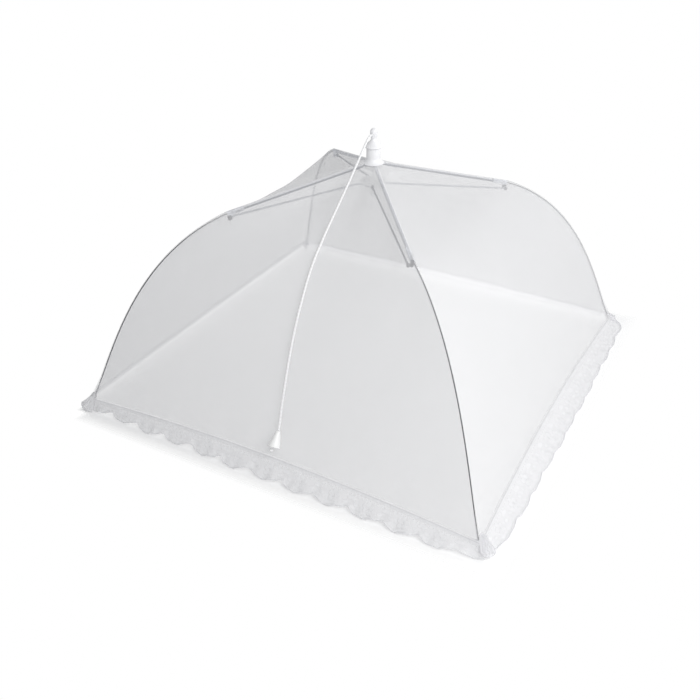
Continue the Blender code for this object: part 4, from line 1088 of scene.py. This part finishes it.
class COVER_OT_lace(bpy.types.Operator):
    """Make the scalloped lace border and the gathers at its corners"""

    bl_idname = "cover.lace"
    bl_label = "Lace Border"

    steps: bpy.props.IntProperty(name="Steps", description="Cells across one scallop", default=18, min=4)

    def execute(self, context):
        sizes, colours = settings()
        # The near lace carries a painted shade line along its top; the far copy passes far more light on,
        # painted light on the sides seen through the net and on three gathers.
        near = lace_material(sizes, colours, "lace_cotton", 0.25, 0.7)
        far = lace_material(sizes, colours, "lace_cotton_far_lit_copy", 0.92, 0.0)
        for rib in RIBS:
            for sign, hand in ((1, "left"), (-1, "right")):
                facing = (RIBS[rib] + 45 * sign) % 360
                self.half(rib, sign, hand, facing, sizes, far if facing in FAR_SIDES else near)
            self.gather(rib, near if rib == "front_left" else far)
        return {"FINISHED"}

    def half(self, rib, sign, hand, facing, sizes, cotton):
        """Half a side's lace: it lies on the net above the hem, then runs out and down to the table."""
        side_half = float(side_place(RUN[-1], np.array(0.0))[1])
        pitch = SCALLOP_PITCH
        columns = math.ceil(side_half / pitch * self.steps)
        turn = np.linspace(0, 1, columns + 1)[None, :]
        heading = np.linspace(-LACE_HEADING / LACE_WIDTH, 0, 4)[:-1]
        across = np.concatenate([heading, np.linspace(0, 1, 15)])[:, None]
        run = hem_run(turn) + np.minimum(across, 0) * LACE_WIDTH
        out, along, z, _ = side_place(run, turn, LACE_OVER_NET)
        low = np.maximum(across, 0)
        corner = smooth_step(1 - (side_half - along) / LACE_CORNER)
        notch, reaches, depths = LACE_SIDES[facing]
        key = math.radians(facing)
        where = -sign * along
        ends = (-side_half, 0, side_half)
        phase = math.pi * (where - notch - pitch / 2) / pitch
        skew = SCALLOP_SKEW * (np.sin(2 * phase + SCALLOP_SHIFT) + math.sin(SCALLOP_SHIFT))
        lobe = np.abs(np.cos(phase + skew))
        tilt = LACE_STRAYS[0] * np.sin(2 * phase + 0.8) + LACE_STRAYS[1] * np.sin(0.74 * phase + key)
        foot = FOOT[0] / math.sqrt(2)
        notch_depth = np.interp(where, ends, depths) * (1 - lobe) ** 2
        reach = foot + np.interp(where, ends, reaches) - notch_depth + tilt
        reach = reach + (foot + LACE_CORNER_REACH[rib] - reach) * corner
        move = (reach - out) * low
        drop = (z - LACE_FLOOR) * np.sin(low * math.pi / 2)
        ruffle = sizes.lace_ruffle * (1 - lobe) * low**2
        gather = 1 + np.sin(5.0 * phase + 1.3 * np.sin(0.9 * phase + key))
        gather = LACE_PUCKER * low * gather * (1 - 0.4 * corner)
        curl = LACE_CURL * smooth_step((low - 0.8) / 0.2) * (0.5 + 0.5 * np.sin(2 * phase + 1.1 + key))
        height = z - drop + ruffle + gather + curl
        away, beside = out + move, along + move * corner
        places = turned(key, away, -sign * beside, height)
        uv = paired((where - notch) / pitch, across * LACE_WIDTH + LACE_HEADING)
        edge = paired((1 - low) * 0.016 - np.minimum(across, 0), pitch + 0 * along)
        maps = {"cloth": uv, "edges": edge}
        maps = {name: np.concatenate([grid] + [grid[-1:]] * ROLL_ROWS) for name, grid in maps.items()}
        obj = paint(face_up(grid_piece(f"lace_{rib}_{hand}", self.rolled(places, key), maps)), cotton)
        stands_for(obj, "lace_" + rib, "spring_" + rib)
        declare_cloth(places)
        anchor, way = fold_axis(rib, sign, CHANNEL_LENGTH, RUN[-1])
        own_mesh(obj)

    @staticmethod
    def rolled(places, key):
        """The places with a corded edge: more rows, on a circle that starts down and outwards."""
        out, up = np.array([math.cos(key), math.sin(key), 0]), np.array([0, 0, 1.0])
        angle = np.linspace(0, 1.75 * math.pi, ROLL_ROWS + 1)[1:, None, None]
        roll = LACE_ROLL * (np.sin(angle) * out + (1 - np.cos(angle)) * up)
        return np.concatenate([places, places[-1:] + roll])

    def gather(self, rib, cotton):
        """The puckered bunch where the lace turns a corner: a neck round the rib's foot that fans out.

        A ring's radius grows with the share w of the way out, and each ring is waved by sines of its angle.
        """
        u = np.linspace(0, math.tau, 97)[None, :-1]
        w = np.linspace(0, 1, 25)[:, None]
        grown = smooth_step(w * 1.1)
        pleat = 1 + (0.09 * np.sin(9 * u + 2 * np.sin(2 * u)) + 0.05 * np.sin(19 * u + 1)) * grown
        closed = np.sqrt(np.clip(1 - (np.maximum(w - 0.5, 0) / 0.5) ** 2, 0, 1))
        start, beside, longer, wide = GATHERS[rib]
        line_r = GATHER_START[0] + (GATHER_RUN[0] + longer) * w
        line_z = GATHER_START[1] - GATHER_RUN[1] * np.sin(w * math.pi / 2)
        ring = (GATHER_NECK + GATHER_SWELL * wide * grown) * pleat * closed * smooth_step(w * 12 + 0.02)
        aside = ring * np.sin(u) * 1.2 + start + (beside - start) * smooth_step(w * 1.4)
        height = np.maximum(line_z + ring * np.cos(u) * 0.75, LACE_FLOOR)
        places = rib_turned(rib, line_r + ring * np.cos(u) * 0.62, aside, height)
        around = np.linspace(0, 1, 97)[None, :]
        maps = {
            "cloth": paired(around * 2.0, LACE_HEADING + 0.012 * w),
            "edges": paired(0.012 * (1 - w) + 0 * around, 0.03 + 0 * w),
        }
        obj = paint(flip_outwards(grid_piece("lace_gather_" + rib, places, maps, around=True)), cotton)
        stands_for(obj, "hem_sleeve_" + rib, "spring_" + rib)


class COVER_OT_ribs(bpy.types.Operator):
    """Make the sprung wires, and finish the channels, brackets, stretchers, rivets and foot caps"""

    bl_idname = "cover.ribs"
    bl_label = "Ribs"

    def execute(self, context):
        _, colours = settings()
        # The wire and rivet steel is near-black: a painted reflection of dark surroundings.
        steel, dull = tuple(colours.steel), tuple(colours.reflection_dark_steel)
        # The channels' side walls and the brackets by their rivets take a darker colour: painted shade.
        plated = steel_material("rib_steel", steel, 0.28, 0.45, dark=(shaded_channel_walls, (0.05, 0.065, 0.10, 1)))
        crimped = steel_material("bracket_steel", steel, 0.36, 0.9, dark=(shaded_near_rivet, (0.03, 0.03, 0.035, 1)))
        # Copies of the plated steel made darker or lighter by rib: painted shade and painted light.
        rod = steel_material("strut_steel", tuple(c * 0.30 for c in steel), 0.45, 0.6, metal=0.5)
        lit_copy_rod_steel = steel_material("bright_strut_steel", tuple(c * 0.62 for c in steel), 0.5, 0.5, metal=0.2)
        bright = steel_material("bright_rib_steel", steel, 0.5, 0.4, metal=0.2)
        dark = steel_material("rivet_steel", dull, 0.42, 0.8, metal=0.4)
        spring = steel_material("spring_wire", dull, 0.5, 0.5, metal=0.2)
        plastic = plastic_material("foot_plastic", tuple(colours.plastic), 0.40)
        # the front right stretcher takes the darker copy of the steel, painted shade, and the back left rib,
        # its wire too, a lighter copy all over, painted light
        finishes = (
            (corner_nodes("rib_channel"), plated), (corner_nodes("rib_bracket"), crimped),
            (corner_nodes("stretcher"), lit_copy_rod_steel), (["runner_ring", "crown_ring"], lit_copy_rod_steel),
            (["stretcher_front_right"], rod), (corner_nodes("stretcher_rivet"), dark),
            ([kind + "_back_left" for kind in ("rib_channel", "rib_bracket", "stretcher_rivet")], bright),
            (corner_nodes("foot_cap"), plastic),
        )
        for names, finish in finishes:
            for name in names:
                paint_node(name, finish)
        for rib, degrees in RIBS.items():
            turn = math.radians(degrees)
            beside = (-math.sin(turn), math.cos(turn), 0)
            wire = swept_piece("spring_wire_" + rib, wire_path(rib), WIRE_RADIUS, 14, beside)
            paint(wire, bright if rib in CASED_RIBS else spring)
            stands_for(wire, "rib_wire_" + rib, "spring_" + rib)
        return {"FINISHED"}


class COVER_OT_crown(bpy.types.Operator):
    """Make the bell and the finial, and finish the notch and runner"""

    bl_idname = "cover.crown"
    bl_label = "Crown"

    def execute(self, context):
        _, colours = settings()
        # The bell and finial take a darker copy of the plastic, painted shade; the notch and runner a whiter
        # copy that passes more light on, painted light.
        plastic = plastic_material("crown_plastic_shaded_copy", tuple(c * 0.93 for c in colours.plastic), 0.40)
        clear = plastic_material("runner_plastic_lit_copy", (0.98, 0.98, 0.98), 0.45, through=0.8)
        for name in ("crown_notch", "runner_hub"):
            paint_node(name, clear)
        z, seat = BELL_FOOT, CAP_SEAT
        rim = BELL_RADIUS + BELL_FLARE
        bell = [(CROWN_BORE, z), (rim - 0.0004, z), (rim, z + 0.0004)]
        shares = np.linspace(0, 1, 12)[1:]
        bell += [(BELL_RADIUS + BELL_FLARE * (1 - s) ** 2, z + BELL_RISE * s) for s in shares]
        bell += [(BELL_RADIUS, seat + 0.0001), (CROWN_BORE, seat + 0.0001)]
        self.made("bell_skirt", bell + bell[:1], 0.0004, plastic, "crown_bell")
        top, knob = seat + CAP_HEIGHT, KNOB_RADIUS
        cap = list(soft_outline([(r, seat + over) for r, over in CAP_OUTLINE], 0.0008, 6))
        quarter = np.linspace(0, math.pi / 2, 16)[:-1]
        cap += [(knob * math.cos(t), top - knob + knob * math.sin(t)) for t in quarter]
        self.made("finial_knob", cap + [(0, top)], 0.0, plastic, "finial_cap")
        return {"FINISHED"}

    @staticmethod
    def made(name, outline, soft, plastic, node):
        """A turned piece of the crown, its outline's corners rounded where soft is over 0."""
        outline = soft_outline(outline, soft, 4) if soft else np.asarray(outline)
        return stands_for(paint(turned_piece(name, outline, 64), plastic), node, "crown")


def looking(place, target):
    """The turn of a camera or a lamp that looks from a place to a target."""
    return (Vector(target) - Vector(place)).to_track_quat("-Z", "Y").to_euler()


class COVER_OT_stage(bpy.types.Operator):
    """Make the camera, the lamps, the white surroundings and the table top"""

    bl_idname = "cover.stage"
    bl_label = "Stage"

    def execute(self, context):
        _, colours = settings()
        scene = context.scene
        scene.view_settings.view_transform = "Standard"
        camera = bpy.data.objects.new("camera", bpy.data.cameras.new("camera"))
        scene.collection.objects.link(camera)
        camera.location = CAMERA_PLACE
        camera.rotation_euler = looking(CAMERA_PLACE, CAMERA_TARGET)
        camera.data.lens, camera.data.sensor_width = CAMERA_LENS, CAMERA_SENSOR
        camera.data.clip_start = 0.01
        scene.camera = camera
        for name, (place, watts, wide) in LAMPS.items():
            self.lamp(name, place, watts, wide)
        self.surroundings(scene)
        self.table(colours)
        return {"FINISHED"}

    @staticmethod
    def lamp(name, place, watts, wide):
        data = bpy.data.lights.new(name, "AREA")
        data.shape, data.size, data.energy = "DISK", wide, watts
        lamp = bpy.data.objects.new(name, data)
        lamp.location = place
        lamp.visible_camera = False
        lamp.rotation_euler = looking(place, LAMP_TARGET)
        bpy.context.scene.collection.objects.link(lamp)

    @staticmethod
    def seen(tree):
        """1 where a camera, glossy or transmitted ray looks, and 0 for light on the object."""
        path = tree.nodes.new("ShaderNodeLightPath")
        total = path.outputs["Is Camera Ray"]
        for name in ("Is Glossy Ray", "Is Transmission Ray"):
            add = tree.nodes.new("ShaderNodeMath")
            add.operation = "MAXIMUM"
            tree.links.new(total, add.inputs[0])
            tree.links.new(path.outputs[name], add.inputs[1])
            total = add.outputs[0]
        return total

    def surroundings(self, scene):
        world = bpy.data.worlds.new("surroundings")
        world.use_nodes = True
        scene.world = world
        tree = world.node_tree
        light = tree.nodes["Background"]
        light.inputs["Color"].default_value = SKY_COLOUR
        light.inputs["Strength"].default_value = SKY_STRENGTH
        white = tree.nodes.new("ShaderNodeBackground")
        white.inputs["Color"].default_value = (1, 1, 1, 1)
        mixed = tree.nodes.new("ShaderNodeMixShader")
        tree.links.new(self.seen(tree), mixed.inputs[0])
        tree.links.new(light.outputs[0], mixed.inputs[1])
        tree.links.new(white.outputs[0], mixed.inputs[2])
        tree.links.new(mixed.outputs[0], tree.nodes["World Output"].inputs["Surface"])

    def table(self, colours):
        """A wide level plane. What looks at it sees part of it and the white surroundings through it.

        It clears beside the cover's left side and, in front, from a little short of that corner.
        """
        x, y = np.meshgrid([-FLOOR_HALF, FLOOR_HALF], [-FLOOR_HALF, FLOOR_HALF])
        table = grid_piece("table_top", np.stack([x, y, 0 * x - FLOOR_DROP], -1))
        material = bpy.data.materials.new("table_white")
        material.use_nodes = True
        tree = material.node_tree
        shader = tree.nodes["Principled BSDF"]
        shader.inputs["Base Color"].default_value = (*colours.floor, 1)
        shader.inputs["Roughness"].default_value = 0.9
        shader.inputs["Specular IOR Level"].default_value = 0.0
        clear = tree.nodes.new("ShaderNodeBsdfTransparent")
        mixed = tree.nodes.new("ShaderNodeMixShader")
        g = Graph.around(material)
        x, y, _ = g.axes()
        left, front = x * -1, y * -1
        # Beside the left side and at the front left corner the table clears to white, painting out the shadow
        # that falls there.
        beside = ((left - FLOOR_LEFT) / FLOOR_SIDE_FADE).held()
        corner = ((left - FLOOR_FRONT_LEFT) / FLOOR_FRONT_LEFT_FADE).held()
        corner = corner * ((front - FLOOR_FRONT) / FLOOR_FRONT_FADE).held()
        far = abs(left).larger(abs(front))
        away = ((far - FLOOR_NEAR) / FLOOR_FADE).held().larger(beside.larger(corner))
        # In a band round the cover's rim less white shows through, which darkens the table and its shadow
        # there: partly real shadow, partly painted shade.
        rim = ((far - FLOOR_RIM) / FLOOR_SIDE_FADE).held()
        passed = FLOOR_CLEAR - FLOOR_RIM_SHADE * rim
        part = Value(g, self.seen(tree)) * (passed + (1 - passed) * away)
        tree.links.new(part.socket, mixed.inputs[0])
        tree.links.new(shader.outputs[0], mixed.inputs[1])
        tree.links.new(clear.outputs[0], mixed.inputs[2])
        tree.links.new(mixed.outputs[0], tree.nodes["Material Output"].inputs["Surface"])
        paint(table, material)


class COVER_PT_panel(bpy.types.Panel):
    """Lists the cover's settings and the steps that make it"""

    bl_label = "Food Cover"
    bl_idname = "COVER_PT_panel"
    bl_space_type = "VIEW_3D"
    bl_region_type = "UI"
    bl_category = "Food Cover"

    def draw(self, context):
        for group in (context.scene.cover_sizes, context.scene.cover_colours):
            for name in group.__annotations__:
                self.layout.prop(group, name)
        for step in STEPS:
            self.layout.operator(step.bl_idname)


STEPS = (COVER_OT_stage, COVER_OT_cord, COVER_OT_net, COVER_OT_lace, COVER_OT_ribs, COVER_OT_crown)
CLASSES = (CoverSizes, CoverColours, *STEPS, COVER_PT_panel)


def register():
    for each in CLASSES:
        bpy.utils.register_class(each)
    bpy.types.Scene.cover_sizes = bpy.props.PointerProperty(type=CoverSizes)
    bpy.types.Scene.cover_colours = bpy.props.PointerProperty(type=CoverColours)


def unregister():
    del bpy.types.Scene.cover_colours
    del bpy.types.Scene.cover_sizes
    for each in reversed(CLASSES):
        bpy.utils.unregister_class(each)


def main():
    register()
    for step in STEPS:
        getattr(bpy.ops.cover, step.bl_idname.split(".")[1])()


if __name__ == "__main__":
    main()
